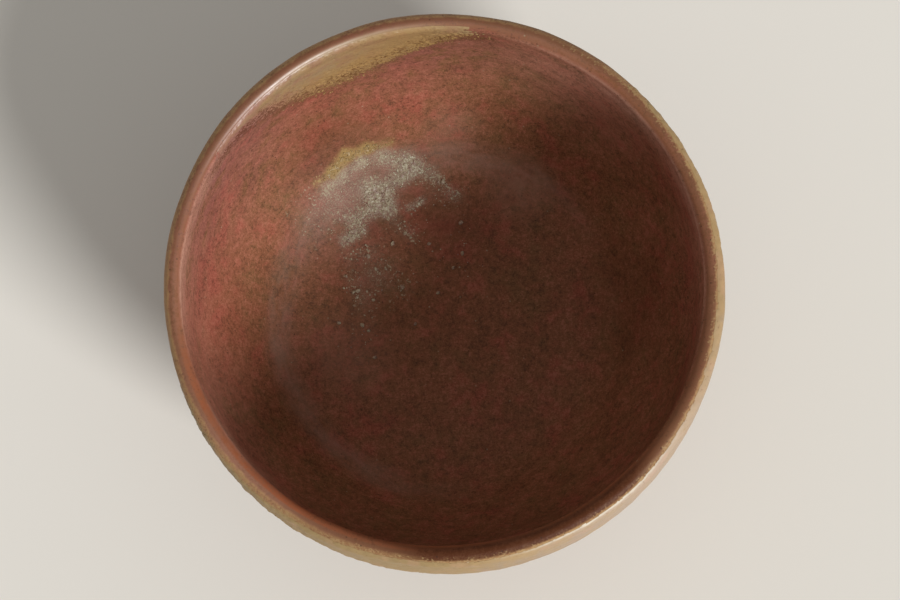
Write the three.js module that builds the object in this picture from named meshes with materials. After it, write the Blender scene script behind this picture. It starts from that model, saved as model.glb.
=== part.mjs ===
// Wood-fired tea bowl: a thrown stoneware bowl luted to a foot ring, with the ash that
// settled on it in the kiln. Millimetres and degrees, +Z up. The origin is the middle of
// the foot, on the surface that the bowl stands on. Azimuth 0 is +X and grows towards +Y.

import * as THREE from 'three';

// Driving dimensions of the clay
const BOWL_HEIGHT = 78;
const LIP_DIAMETER = 129;
const LIP_THICKNESS = 4.2;
const LIP_CROWN = 2.4; // height of the rounded top of the lip
const LIP_LEAN = 5; // inward lean of the outside at the lip, degrees
const LIP_INSIDE_SLOPE = 92; // slope of the inside at the lip, degrees
const BELLY_DIAMETER = 130.4;
const BELLY_DROP = 23; // widest ring below the lip
const BELLY_SLOPE = 90; // the outside is upright at its widest ring, degrees
const BELLY_INSIDE_SLOPE = 87;
const WALL_THICKNESS = 5;
const HIP_THICKNESS = 6; // wall where it turns under the bowl
const WELL_DIAMETER = 92; // ring where the floor turns up into the wall
const WELL_RISE = 10.5; // that ring above the middle of the floor
const WELL_SLOPE = 50; // slope of the inside at that ring, degrees
const FLOOR_THICKNESS = 6.8;
const POOL_DIAMETER = 34; // shallow pool in the middle of the floor
const POOL_DEPTH = 0.9;
const POOL_SLOPE = 7; // slope of the floor at the edge of the pool, degrees
const UNDERSIDE_SLOPE = 6; // slope of the outside where it leaves the foot, degrees

// Driving dimensions of the foot
const FOOT_DIAMETER = 57;
const FOOT_HEIGHT = 7;
const FOOT_WIDTH = 6.5;
const FOOT_TAPER = 1.2; // each side of the ring draws in by this much at the bottom
const FOOT_EDGE = 0.9; // worn edge round the contact face
const LUTE_SIZE = 2.6; // height and width of the clay pressed into each corner
const LUTE_HOLLOW = 0.7; // how deep the thumb hollows that clay
const LUTE_SEAT = 0.12; // clearance between that clay and what it is pressed against

// Driving dimensions of the ash
const ASH_SEAT = 0.25; // clearance between the ash and the clay under it
const ASH_EDGE = 0.15; // thickness left at the edge of an ash layer
const ASH_FADE = 0.5; // how soon a layer is full from its edge, lower is sooner
const COAT_FROM = -150; // first and last azimuth of each layer
const COAT_TO = 42;
const COAT_THICKNESS = 0.8;
const COAT_DROP = 62; // farthest reach down the outside from the top of the lip
const COAT_TOP = 1.9; // top edge of the coat, along the outside from the top of the lip
const COAT_TOP_WAVE = 0.5;
const COAT_EDGE_WAVE = 1.5;
const LIP_PATCH_FROM = 84;
const LIP_PATCH_TO = 150;
const LIP_PATCH_THICKNESS = 0.45;
const LIP_PATCH_DROP = 27; // farthest reach down the inside from the top of the lip
const LIP_PATCH_TOP = 1.6; // top edge of the patch, along the inside from the top of the lip
const LIP_PATCH_WAVE = 1.1;
const WELL_PATCH_FROM = 106;
const WELL_PATCH_TO = 132;
const WELL_PATCH_THICKNESS = 0.5;
const DRIFT_FROM = 96;
const DRIFT_TO = 142;
const DRIFT_THICKNESS = 0.4;
const GRAIN_HEIGHT = 0.55; // as a share of the grain's own radius

// Outlines of the ash below the lip: each azimuth with the share of the farthest reach
const COAT_REACH = [
  [-152, 0.23], [-130, 0.45], [-95, 0.77], [-45, 1], [0, 0.9], [26, 0.58], [44, 0.26],
];
const LIP_PATCH_REACH = [
  [82, 0.15], [92, 0.48], [103, 0.78], [118, 1], [130, 0.63], [139, 0.3], [151, 0.15],
];

// Outlines of the ash in the well: each azimuth with a share of the way along the floor
// from its middle to the ring where it turns up
const WELL_PATCH_NEAR = [[104, 0.995], [112, 0.985], [124, 0.99], [136, 1.015]];
const WELL_PATCH_FAR = [[104, 1.055], [112, 1.075], [124, 1.09], [136, 1.065]];
const DRIFT_NEAR = [[94, 0.78], [105, 0.69], [118, 0.625], [130, 0.625], [144, 0.7]];
const DRIFT_FAR = [[94, 0.86], [105, 0.915], [120, 0.925], [134, 0.85], [144, 0.76]];

// Largest single grains of ash: azimuth, share of the same way, and diameter
const GRAINS = [
  [124, 0.53, 1.5], [115, 0.545, 1.3], [103, 0.45, 1.2], [83, 0.555, 1.6], [92, 0.77, 1.5],
  [86, 0.71, 1.3], [79, 0.395, 1.2], [139, 0.565, 1.5], [142, 0.49, 1.3], [159, 0.515, 1.4],
  [140, 0.32, 1.6], [107, 0.185, 1.3], [177, 0.175, 1.2], [180, 0.455, 1.4], [179, 0.58, 1.4],
  [204, 0.425, 1.2],
];

// Waves that make an edge uneven: how many round the bowl, their share and their phase
const UNEVEN_WAVES = [[9, 0.5, 0], [23, 0.3, 1], [41, 0.2, 2]];

// Fineness of the model
const SEGMENTS = 60; // flats round the bowl
const PROFILE_STEP = 5; // longest step along the profile
const LIP_STEPS = 4;
const EDGE_STEPS = 3;
const LUTE_STEPS = 3;
const COAT_ROWS = 20;
const LIP_PATCH_ROWS = 10;
const WELL_PATCH_ROWS = 3;
const DRIFT_ROWS = 5;
const WELL_COLUMN_ANGLE = 4; // widest column of the layers in the well, degrees
const GRAIN_SIDES = 9;
const GRAIN_STEPS = 2;
const LIP_CROWDING = 0.75; // how far the rows of a layer crowd towards the lip, 0 to 1
const CURVE_HANDLE = 0.36; // length of a curve's handle as a share of its chord

const SEGMENT_ANGLE = 360 / SEGMENTS;
const LIP_RADIUS = LIP_DIAMETER / 2;
const LIP_MIDDLE = LIP_RADIUS - LIP_THICKNESS / 2;
const LIP_SPRING = BOWL_HEIGHT - LIP_CROWN;
const FLOOR_TOP = FOOT_HEIGHT + FLOOR_THICKNESS;
const FOOT_RADIUS = FOOT_DIAMETER / 2;
const FOOT_BORE = FOOT_RADIUS - FOOT_WIDTH;

const radians = THREE.MathUtils.degToRad;

function finish(color, roughness) {
  return new THREE.MeshStandardMaterial({ color, roughness, metalness: 0 });
}

function namedMesh(name, geometry, material) {
  const mesh = new THREE.Mesh(geometry, material);
  mesh.name = name;
  return mesh;
}

// A place on the bowl's section, and the slope at which the curve runs through it
function station(radius, height, slope) {
  return { radius, height, slope: radians(slope) };
}

// A smooth curve from the first station to the last
function curveThrough(stations) {
  const path = new THREE.Path();
  path.moveTo(stations[0].radius, stations[0].height);
  stations.slice(1).forEach((to, index) => {
    const from = stations[index];
    const chord = Math.hypot(to.radius - from.radius, to.height - from.height);
    const handle = CURVE_HANDLE * chord;
    path.bezierCurveTo(
      from.radius + handle * Math.cos(from.slope),
      from.height + handle * Math.sin(from.slope),
      to.radius - handle * Math.cos(to.slope),
      to.height - handle * Math.sin(to.slope),
      to.radius,
      to.height,
    );
  });
  return path;
}

function outsideFace() {
  const well = radians(WELL_SLOPE);
  const hip = {
    radius: WELL_DIAMETER / 2 + HIP_THICKNESS * Math.sin(well),
    height: FLOOR_TOP + WELL_RISE - HIP_THICKNESS * Math.cos(well),
    slope: well,
  };
  const path = curveThrough([
    station(FOOT_RADIUS + LUTE_SIZE + LUTE_SEAT, FOOT_HEIGHT, UNDERSIDE_SLOPE),
    hip,
    station(BELLY_DIAMETER / 2, BOWL_HEIGHT - BELLY_DROP, BELLY_SLOPE),
    station(LIP_RADIUS, LIP_SPRING, BELLY_SLOPE + LIP_LEAN),
  ]);
  path.absellipse(LIP_MIDDLE, LIP_SPRING, LIP_THICKNESS / 2, LIP_CROWN, 0, Math.PI / 2, false, 0);
  return path;
}

function insideFace() {
  const path = curveThrough([
    station(0, FLOOR_TOP - POOL_DEPTH, 0),
    station(POOL_DIAMETER / 2, FLOOR_TOP, POOL_SLOPE),
    station(WELL_DIAMETER / 2, FLOOR_TOP + WELL_RISE, WELL_SLOPE),
    station(BELLY_DIAMETER / 2 - WALL_THICKNESS, BOWL_HEIGHT - BELLY_DROP, BELLY_INSIDE_SLOPE),
    station(LIP_RADIUS - LIP_THICKNESS, LIP_SPRING, LIP_INSIDE_SLOPE),
  ]);
  path.absellipse(
    LIP_MIDDLE, LIP_SPRING, LIP_THICKNESS / 2, LIP_CROWN, Math.PI, Math.PI / 2, true, 0,
  );
  return path;
}

// The way along the inside from the middle of the floor, over the pool, to the well's turn
function wayToWell(path) {
  const [pool, floor] = path.curves;
  return pool.getLength() + floor.getLength();
}

// Points along a face, a few on each curve, with each joint between curves given once
function tracedPoints(path) {
  const points = path.curves.flatMap((curve) => {
    const even = Math.ceil(curve.getLength() / PROFILE_STEP);
    const steps = curve.isEllipseCurve ? LIP_STEPS : even;
    return curve.getSpacedPoints(steps).slice(0, -1);
  });
  return [...points, path.getPoint(1)];
}

// A solid turned from a section of (radius, height) points
function turned(points, segments = SEGMENTS) {
  const geometry = new THREE.LatheGeometry(points, segments);
  geometry.rotateX(Math.PI / 2);
  return geometry;
}

function bodyGeometry(outside, inside) {
  const underside = new THREE.Vector2(0, FOOT_HEIGHT);
  const up = tracedPoints(outside);
  const down = tracedPoints(inside).reverse().slice(1);
  return turned([underside, ...up, ...down]);
}

function footRingGeometry() {
  const section = new THREE.Path();
  const outer = FOOT_RADIUS - FOOT_TAPER;
  const inner = FOOT_BORE + FOOT_TAPER;
  section.moveTo(inner + FOOT_EDGE, 0);
  section.lineTo(outer - FOOT_EDGE, 0);
  section.quadraticCurveTo(outer, 0, outer, FOOT_EDGE);
  section.lineTo(FOOT_RADIUS, FOOT_HEIGHT);
  section.lineTo(FOOT_BORE, FOOT_HEIGHT);
  section.lineTo(inner, FOOT_EDGE);
  section.quadraticCurveTo(inner, 0, inner + FOOT_EDGE, 0);
  return turned(section.getPoints(EDGE_STEPS));
}

// The ring of clay pressed into the corner between the foot ring and the underside.
// side is 1 outside the ring and -1 inside it.
function luteGeometry(side) {
  const wall = side > 0 ? FOOT_RADIUS : FOOT_BORE;
  const lean = FOOT_TAPER / (FOOT_HEIGHT - FOOT_EDGE);
  const top = FOOT_HEIGHT - LUTE_SEAT;
  const bottom = FOOT_HEIGHT - LUTE_SIZE;
  const corner = new THREE.Vector2(wall + side * LUTE_SEAT, top);
  const low = new THREE.Vector2(wall + side * (LUTE_SEAT - lean * (FOOT_HEIGHT - bottom)), bottom);
  const far = new THREE.Vector2(wall + side * LUTE_SIZE, top);
  const middle = low.clone().lerp(far, 0.5);
  const pull = corner.clone().sub(middle).setLength(2 * LUTE_HOLLOW);
  const hollow = new THREE.QuadraticBezierCurve(low, middle.add(pull), far);
  const section = [...hollow.getPoints(LUTE_STEPS), corner, low.clone()];
  return turned(side > 0 ? section : section.reverse());
}

// The value of an outline at one azimuth, on a smooth curve through its points
function outlineAt(outline, azimuth) {
  const azimuths = outline.map(([at]) => at);
  const reaches = outline.map(([, reach]) => reach);
  return new THREE.CubicInterpolant(azimuths, reaches, 1).evaluate(azimuth)[0];
}

// An uneven edge that is the same each time, between -1 and 1
function unevenness(azimuth) {
  const turn = radians(azimuth);
  const heights = UNEVEN_WAVES.map(([count, share, phase]) => share * Math.sin(count * turn + phase));
  return heights.reduce((sum, height) => sum + height);
}

// A place on a face, by its distance along the face and its azimuth, raised off the clay.
// side is 1 for the outside and -1 for the inside.
function placeOnFace({ path, side }, distance, azimuth, raise) {
  const along = distance / path.getLength();
  const spot = path.getPoint(along);
  const tangent = path.getTangent(along);
  const radius = spot.x + side * tangent.y * raise;
  const height = spot.y - side * tangent.x * raise;
  const turn = radians(azimuth);
  return new THREE.Vector3(radius * Math.cos(turn), radius * Math.sin(turn), height);
}

// A closed sheet between two grids of places. Both grids run by azimuth, then outwards
// along the face, and the upper grid is the one away from the clay.
function closedSheet(lower, upper, side) {
  const columns = upper.length;
  const rows = upper[0].length;
  const places = [...upper.flat(), ...lower.flat()];
  const top = (column, row) => column * rows + row;
  const under = (column, row) => columns * rows + column * rows + row;
  const index = [];
  const face = (a, b, c, d) => {
    const ring = side > 0 ? [a, b, c, d] : [d, c, b, a];
    index.push(ring[0], ring[1], ring[2], ring[0], ring[2], ring[3]);
  };
  for (let column = 0; column < columns - 1; column += 1) {
    for (let row = 0; row < rows - 1; row += 1) {
      const next = column + 1;
      face(top(column, row), top(next, row), top(next, row + 1), top(column, row + 1));
      face(under(column, row), under(column, row + 1), under(next, row + 1), under(next, row));
    }
  }
  const last = columns - 1;
  const end = rows - 1;
  for (let row = 0; row < end; row += 1) {
    face(top(0, row), top(0, row + 1), under(0, row + 1), under(0, row));
    face(top(last, row + 1), top(last, row), under(last, row), under(last, row + 1));
  }
  for (let column = 0; column < last; column += 1) {
    face(top(column + 1, 0), top(column, 0), under(column, 0), under(column + 1, 0));
    face(top(column, end), top(column + 1, end), under(column + 1, end), under(column, end));
  }
  const geometry = new THREE.BufferGeometry().setFromPoints(places);
  geometry.setIndex(index);
  geometry.computeVertexNormals();
  return geometry;
}

// A thin layer of ash on a face. edges gives its two edges at an azimuth, as distances
// along the face, and the layer is thickest in the middle and thin at its edges.
// crowding draws its rows together towards the far edge, where that edge is on the lip.
function ashLayer({ face, from, to, columnAngle, rows, thickness, edges, crowding = 0 }) {
  const columns = Math.ceil((to - from) / columnAngle);
  const lower = [];
  const upper = [];
  for (let column = 0; column <= columns; column += 1) {
    const azimuth = THREE.MathUtils.lerp(from, to, column / columns);
    const [near, far] = edges(azimuth);
    const endFade = Math.sin(Math.PI * (column / columns)) ** ASH_FADE;
    const lowerColumn = [];
    const upperColumn = [];
    for (let row = 0; row <= rows; row += 1) {
      const back = 1 - row / rows;
      const distance = far - (far - near) * back * (1 - crowding + crowding * back);
      const fade = endFade * Math.sin(Math.PI * back) ** ASH_FADE;
      const raised = ASH_SEAT + Math.max(ASH_EDGE, thickness * fade);
      lowerColumn.push(placeOnFace(face, distance, azimuth, ASH_SEAT));
      upperColumn.push(placeOnFace(face, distance, azimuth, raised));
    }
    lower.push(lowerColumn);
    upper.push(upperColumn);
  }
  return closedSheet(lower, upper, face.side);
}

function outerCoatGeometry(outside) {
  const length = outside.path.getLength();
  return ashLayer({
    face: outside,
    from: COAT_FROM,
    to: COAT_TO,
    columnAngle: SEGMENT_ANGLE,
    rows: COAT_ROWS,
    crowding: LIP_CROWDING,
    thickness: COAT_THICKNESS,
    edges: (azimuth) => [
      length - COAT_DROP * outlineAt(COAT_REACH, azimuth) - COAT_EDGE_WAVE * unevenness(azimuth),
      length - COAT_TOP - COAT_TOP_WAVE * unevenness(2 * azimuth),
    ],
  });
}

function lipPatchGeometry(inside) {
  const length = inside.path.getLength();
  return ashLayer({
    face: inside,
    from: LIP_PATCH_FROM,
    to: LIP_PATCH_TO,
    columnAngle: SEGMENT_ANGLE,
    rows: LIP_PATCH_ROWS,
    crowding: LIP_CROWDING,
    thickness: LIP_PATCH_THICKNESS,
    edges: (azimuth) => [
      length - LIP_PATCH_DROP * outlineAt(LIP_PATCH_REACH, azimuth)
        + LIP_PATCH_WAVE * unevenness(azimuth),
      length - LIP_PATCH_TOP,
    ],
  });
}

function wellPatchGeometry(inside) {
  const way = wayToWell(inside.path);
  return ashLayer({
    face: inside,
    from: WELL_PATCH_FROM,
    to: WELL_PATCH_TO,
    columnAngle: WELL_COLUMN_ANGLE,
    rows: WELL_PATCH_ROWS,
    thickness: WELL_PATCH_THICKNESS,
    edges: (azimuth) => [
      way * outlineAt(WELL_PATCH_NEAR, azimuth),
      way * outlineAt(WELL_PATCH_FAR, azimuth),
    ],
  });
}

function wellDriftGeometry(inside) {
  const way = wayToWell(inside.path);
  return ashLayer({
    face: inside,
    from: DRIFT_FROM,
    to: DRIFT_TO,
    columnAngle: WELL_COLUMN_ANGLE,
    rows: DRIFT_ROWS,
    thickness: DRIFT_THICKNESS,
    edges: (azimuth) => [
      way * outlineAt(DRIFT_NEAR, azimuth),
      way * outlineAt(DRIFT_FAR, azimuth),
    ],
  });
}

// A grain of ash: a low dome that stands on the floor and leans with it
function grainMesh(inside, [azimuth, share, diameter], name) {
  const radius = diameter / 2;
  const distance = share * wayToWell(inside.path);
  const rim = new THREE.EllipseCurve(0, 0, radius, GRAIN_HEIGHT * radius, 0, Math.PI / 2);
  const dome = [new THREE.Vector2(0, 0), ...rim.getPoints(GRAIN_STEPS)];
  const mesh = namedMesh(name, turned(dome, GRAIN_SIDES), finish(0xb9b29c, 0.5));
  const seat = placeOnFace(inside, distance, azimuth, ASH_SEAT);
  const above = placeOnFace(inside, distance, azimuth, ASH_SEAT + 1);
  const upright = new THREE.Vector3(0, 0, 1);
  mesh.position.copy(seat);
  mesh.quaternion.setFromUnitVectors(upright, above.sub(seat).normalize());
  return mesh;
}

function teaBowl() {
  const outside = { path: outsideFace(), side: 1 };
  const inside = { path: insideFace(), side: -1 };

  const clay = new THREE.Group();
  clay.add(
    namedMesh('thrown_body', bodyGeometry(outside.path, inside.path), finish(0x6f3d2e, 0.55)),
    namedMesh('foot_ring', footRingGeometry(), finish(0x7d4a36, 0.7)),
    namedMesh('foot_lute_outer', luteGeometry(1), finish(0x744434, 0.65)),
    namedMesh('foot_lute_inner', luteGeometry(-1), finish(0x744434, 0.65)),
  );

  const ash = new THREE.Group();
  ash.add(
    namedMesh('outer_ash_coat', outerCoatGeometry(outside), finish(0xbb9e7f, 0.75)),
    namedMesh('lip_ash_patch', lipPatchGeometry(inside), finish(0x9f7a55, 0.65)),
    namedMesh('well_ash_patch', wellPatchGeometry(inside), finish(0x9c8450, 0.6)),
    namedMesh('well_ash_drift', wellDriftGeometry(inside), finish(0x9a917c, 0.6)),
  );
  GRAINS.forEach((grain, index) => {
    const number = String(index + 1).padStart(2, '0');
    ash.add(grainMesh(inside, grain, `ash_grain_${number}`));
  });

  const bowl = new THREE.Group();
  bowl.add(clay, ash);
  return bowl;
}

export default teaBowl();
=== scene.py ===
# Tea bowl: a thrown and wood-fired stoneware bowl on a foot ring, with the ash that settled
# on it in the kiln. Metres, +Z up. The origin is the middle of the foot, on the surface that
# the bowl stands on. Azimuth 0 is +X and grows towards +Y.

import math
from dataclasses import dataclass

import bpy
import numpy as np
from bpy.props import FloatProperty, FloatVectorProperty, IntProperty, PointerProperty
from mathutils import Matrix, Vector, noise
from mathutils.bvhtree import BVHTree
from mathutils.geometry import interpolate_bezier
from mathutils.kdtree import KDTree


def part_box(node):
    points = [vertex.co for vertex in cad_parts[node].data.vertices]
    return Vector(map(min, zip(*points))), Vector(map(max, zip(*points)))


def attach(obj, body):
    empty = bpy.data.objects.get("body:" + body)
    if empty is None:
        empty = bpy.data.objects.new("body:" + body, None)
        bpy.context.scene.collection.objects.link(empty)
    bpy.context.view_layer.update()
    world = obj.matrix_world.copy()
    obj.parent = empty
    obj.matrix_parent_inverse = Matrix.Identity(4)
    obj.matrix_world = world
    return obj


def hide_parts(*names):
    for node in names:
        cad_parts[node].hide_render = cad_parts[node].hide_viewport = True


bl_info = {
    "name": "Tea bowl",
    "version": (1, 0, 0),
    "blender": (4, 5, 0),
    "location": "3D View > Sidebar > Tea bowl",
    "description": "Models and finishes a wood-fired tea bowl around its packed frame",
    "category": "Object",
}

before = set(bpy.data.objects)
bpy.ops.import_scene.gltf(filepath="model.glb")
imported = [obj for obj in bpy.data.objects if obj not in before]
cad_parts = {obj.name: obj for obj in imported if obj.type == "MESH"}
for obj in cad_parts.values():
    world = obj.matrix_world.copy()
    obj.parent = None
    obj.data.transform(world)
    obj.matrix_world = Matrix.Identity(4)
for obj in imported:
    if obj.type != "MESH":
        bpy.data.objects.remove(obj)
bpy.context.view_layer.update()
BODY_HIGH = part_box("thrown_body")[1]
FOOT_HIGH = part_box("foot_ring")[1]
LUTE_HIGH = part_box("foot_lute_outer")[1]

MM = 0.001
CURVE_HANDLE = 0.36  # length of a curve's handle as a share of its chord
WELD = 0.01 * MM  # points closer than this are one point
RING_WAVES = ((0.7, 1, 0), (0.3, 2.3, 1), (0.25, 0.37, 0))  # height, waves in a pitch, start
RING_FADE = (4 * MM, 14 * MM)  # the rings fade out towards the crest between these
CREASE_WIDTH = 0.8 * MM
OUT_OF_ROUND = 45 * MM  # how far apart the places lie where the wall strays from round
HAND_MARKS = 9 * MM  # how far apart the dents of the hands lie
FOOT_MARKS = (6 * MM, 0.35 * MM)  # spacing and height of the marks on the foot
THUMB_MARKS = (5 * MM, 0.5 * MM)  # spacing and height of the marks on the lutes
CROWN_STEPS = 9  # points on each side of the lip's rounded top
FOOT_TURN_STEPS = 240  # faces round the foot and its lutes
EDGE_STEPS = 5  # points on the worn edge of the foot
SIDE_STEPS = 8  # points up each side of the foot, and on the face of a lute
LUTE_PULL = 0.7  # how far the handles of a lute's face reach towards its hollow
SOFT_ANGLE = 60  # edges sharper than this stay sharp, in degrees: on the body and the grains
FOOT_ANGLE = 40  # on the foot and its lutes
LAYER_ANGLE = 50  # on the layers of ash
GRAIN_NODES = sorted(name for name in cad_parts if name.startswith("ash_grain_"))

# Layers of ash: their hold where there is none, how far beyond their edge the skin is
# copied, how sharply a bed ends where its grains thin out and at what density, how a run
# draws out down the wall and how wide it is, and the thickness of the edge as a share
NO_HOLD = -4
LIFT_MARGIN = 1.6
BED_SHARPNESS = 5
BED_DENSITY = 1.05
DRAWN_DOWN = (1, 1, 0.2)
RUN_WIDTH = 4.5 * MM
THINNEST_SHARE = 0.06
BREAK_SEED, RUN_SEED, LUMP_SEED = 3, 7, 11
CALM_BAND = 4 * MM  # the break-up grows to its full over this, from the upper edge down
OUTLINE_TURNS = (-6, -3, 0, 3, 6)  # an outline is the mean over these degrees

# A grain of ash 1 m across: where its ball is cut off, the share of each side that is left,
# and the size and height of the lumps on it
GRAIN_CUT = 0.12
GRAIN_SQUASH = (1, 0.86, 0.66)
GRAIN_LUMPS = (0.45, 0.35)
GRAIN_SPREAD = 0.7  # how far most grains lie from a swarm's middle line, in its half widths
DIAMETER_SPREAD = 0.38  # how much their diameters differ, as the spread of a logarithm
DUST_SPREAD = 0.4  # how far dust and grains stray from their swarm, in millimetres
THICKEST_DUST = 1.2  # where swarms overlap, their dust grows no thicker than this
SWARM_ENDS = (-0.04, 1.04)  # grains lie between these shares of a swarm's middle line
SINGLE_GRAIN = (0.75, 1.0)  # width of a single grain, as shares of its solid's
SINGLE_GRAIN_SEED = 21

RING_NOISE_RADIUS = 14 * MM  # the circle on which the noise of the throwing rings is read

# The stage: the floor, the sun, the plain sky, and the camera as the photograph's rings gave it
FLOOR_SIZE = 6
SUN_AZIMUTH = -47
SUN_ELEVATION = math.radians(33)
SUN_DISTANCE = 1.3
SUN_WIDTH = math.radians(18.4)
SUN_STRENGTH = 3.4
SKY_STRENGTH = 0.4
SKY_LIGHT = (1.0, 0.99, 0.97, 1)
SKY_SEEN = (0.86, 0.85, 0.82, 1)
CAMERA_PLACE = (13.206 * MM, -91.584 * MM, 598.27 * MM)
CAMERA_TILT = (math.radians(9.528), math.radians(1.247), 0)
CAMERA_LENS = 92
CAMERA_SENSOR = 36

# Outlines of the ash below the lip: each azimuth with a share of the farthest reach, and
# for the coat's top edge with a share of its usual drop
COAT_REACH = [
    (-152, 0.23), (-130, 0.45), (-95, 0.77), (-45, 1.0), (0, 0.9), (26, 0.58), (44, 0.26),
]
COAT_TOP = [
    (-150, 1.05), (-128, 1.1), (-105, 0.8), (-85, 0.95), (-60, 1.1), (-40, 0.85), (-15, 0.45), (44, 0.4),
]
LIP_PATCH_REACH = [
    (82, 0.15), (92, 0.48), (103, 0.78), (118, 1.0), (130, 0.63), (139, 0.3), (151, 0.15),
]

# Outlines of the ash in the well: each azimuth with a share of the way along the floor
# from its middle to the ring where it turns up
WELL_PATCH_NEAR = [(104, 0.995), (112, 0.985), (124, 0.99), (136, 1.015)]
WELL_PATCH_FAR = [(104, 1.055), (112, 1.075), (124, 1.09), (136, 1.065)]
DRIFT_NEAR = [(94, 0.78), (105, 0.69), (118, 0.625), (130, 0.625), (144, 0.7)]
DRIFT_FAR = [(94, 0.86), (105, 0.915), (120, 0.925), (134, 0.85), (144, 0.76)]


def srgb(red, green, blue):
    """A colour written as screen values from 0 to 255, in Blender's linear values"""
    values = (channel / 255 for channel in (red, green, blue))
    return tuple(v / 12.92 if v <= 0.04045 else ((v + 0.055) / 1.055) ** 2.4 for v in values)


def length(name, description, default):
    """A length that a user may change"""
    return FloatProperty(
        name=name, description=description, default=default, min=0, unit="LENGTH", precision=5,
    )


def angle(name, description, degrees):
    """An angle that a user may change"""
    turn = math.radians(degrees)
    return FloatProperty(
        name=name, description=description, default=turn, subtype="ANGLE", unit="ROTATION",
    )


def count(name, description, default):
    """A number of like things that a user may change"""
    return IntProperty(name=name, description=description, default=default, min=1)


def colour(name, description, *screen):
    """A colour that a user may change"""
    return FloatVectorProperty(
        name=name, description=description, default=srgb(*screen), size=3, min=0, max=1, subtype="COLOR",
    )


class BowlSizes(bpy.types.PropertyGroup):
    """Sizes of the clay and of the ash on it"""

    height: length("Height", "Height of the bowl over all", BODY_HIGH.z)
    lip_diameter: length("Lip", "Diameter over the lip", 129 * MM)
    lip_thickness: length("Lip thickness", "Thickness of the wall at the lip", 4.2 * MM)
    lip_crown: length("Lip crown", "Height of the rounded top of the lip", 2.4 * MM)
    lip_lean: angle("Lip lean", "Inward lean of the outside at the lip", 5)
    lip_inside_slope: angle("Slope inside the lip", "Slope of the inside at the lip", 92)
    belly_diameter: length("Belly", "Diameter of the widest ring", 2 * BODY_HIGH.x)
    belly_drop: length("Belly drop", "Widest ring below the lip", 23 * MM)
    belly_slope: angle("Belly slope", "Slope of the outside at its widest ring", 90)
    belly_inside_slope: angle("Slope inside the belly", "Slope of the inside at the widest ring", 87)
    wall_thickness: length("Wall", "Thickness of the wall at the belly", 5 * MM)
    hip_thickness: length("Hip", "Thickness of the wall where it turns under the bowl", 6 * MM)
    well_diameter: length("Well", "Diameter of the ring where the floor turns up", 92 * MM)
    well_rise: length("Well rise", "That ring above the middle of the floor", 10.5 * MM)
    well_slope: angle("Well slope", "Slope of the inside at that ring", 50)
    floor_thickness: length("Floor", "Thickness of the floor at the pool's edge", 6.8 * MM)
    pool_diameter: length("Pool", "Diameter of the shallow pool in the floor", 34 * MM)
    pool_depth: length("Pool depth", "Depth of the pool", 0.9 * MM)
    pool_slope: angle("Pool slope", "Slope of the floor at the pool's edge", 7)
    underside_slope: angle("Underside slope", "Slope of the outside where it leaves the foot", 6)
    foot_height: length("Foot height", "Height of the foot ring", FOOT_HIGH.z)
    foot_diameter: length("Foot", "Diameter of the foot ring", 2 * FOOT_HIGH.x)
    foot_width: length("Foot width", "Width of the foot ring", 6.5 * MM)
    foot_taper: length("Foot taper", "How far each side of the ring draws in at the bottom", 1.2 * MM)
    foot_edge: length("Foot edge", "Worn edge round the contact face", 0.9 * MM)
    lute_size: length("Lute", "Height and width of the clay in each corner", 2.6 * MM)
    lute_hollow: length("Lute hollow", "How deep the thumb hollows that clay", 0.7 * MM)
    ring_pitch: length("Throwing ring pitch", "Distance between the rings that the fingers leave", 7 * MM)
    ring_depth_inside: length("Rings inside", "Height of those rings on the inside", 0.06 * MM)
    ring_depth_outside: length("Rings outside", "Height of those rings on the outside", 0.12 * MM)
    crease_drop: length("Crease", "Crease inside the lip, along the clay from the crest", 6.4 * MM)
    crease_depth: length("Crease depth", "Depth of that crease", 0.1 * MM)
    wobble: length("Wobble", "How far the wall strays from round", 0.9 * MM)
    hand_marks: length("Hand marks", "Height of the soft dents of the hands", 0.24 * MM)
    profile_step: length("Profile step", "Distance between points on the section", 1.0 * MM)
    turn_steps: count("Steps round", "Faces round the bowl", 360)
    coat_thickness: length("Coat", "Thickness of the ash on the outside", 0.7 * MM)
    coat_top: length("Coat top", "Top edge of that coat below the crest, at its lowest", 2.3 * MM)
    coat_drop: length("Coat drop", "Farthest reach of that coat down the outside", 62 * MM)
    lip_patch_thickness: length("Lip patch", "Thickness of the ash inside the lip", 0.3 * MM)
    lip_patch_top: length("Lip patch top", "Top edge of that patch below the crest", 1.6 * MM)
    lip_patch_drop: length("Lip patch drop", "Farthest reach of that patch", 27 * MM)
    well_patch_thickness: length("Well patch", "Thickness of the yellow ash in the well", 0.4 * MM)
    drift_thickness: length("Drift", "Thickness of the bed of the grey drift", 0.3 * MM)


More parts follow.
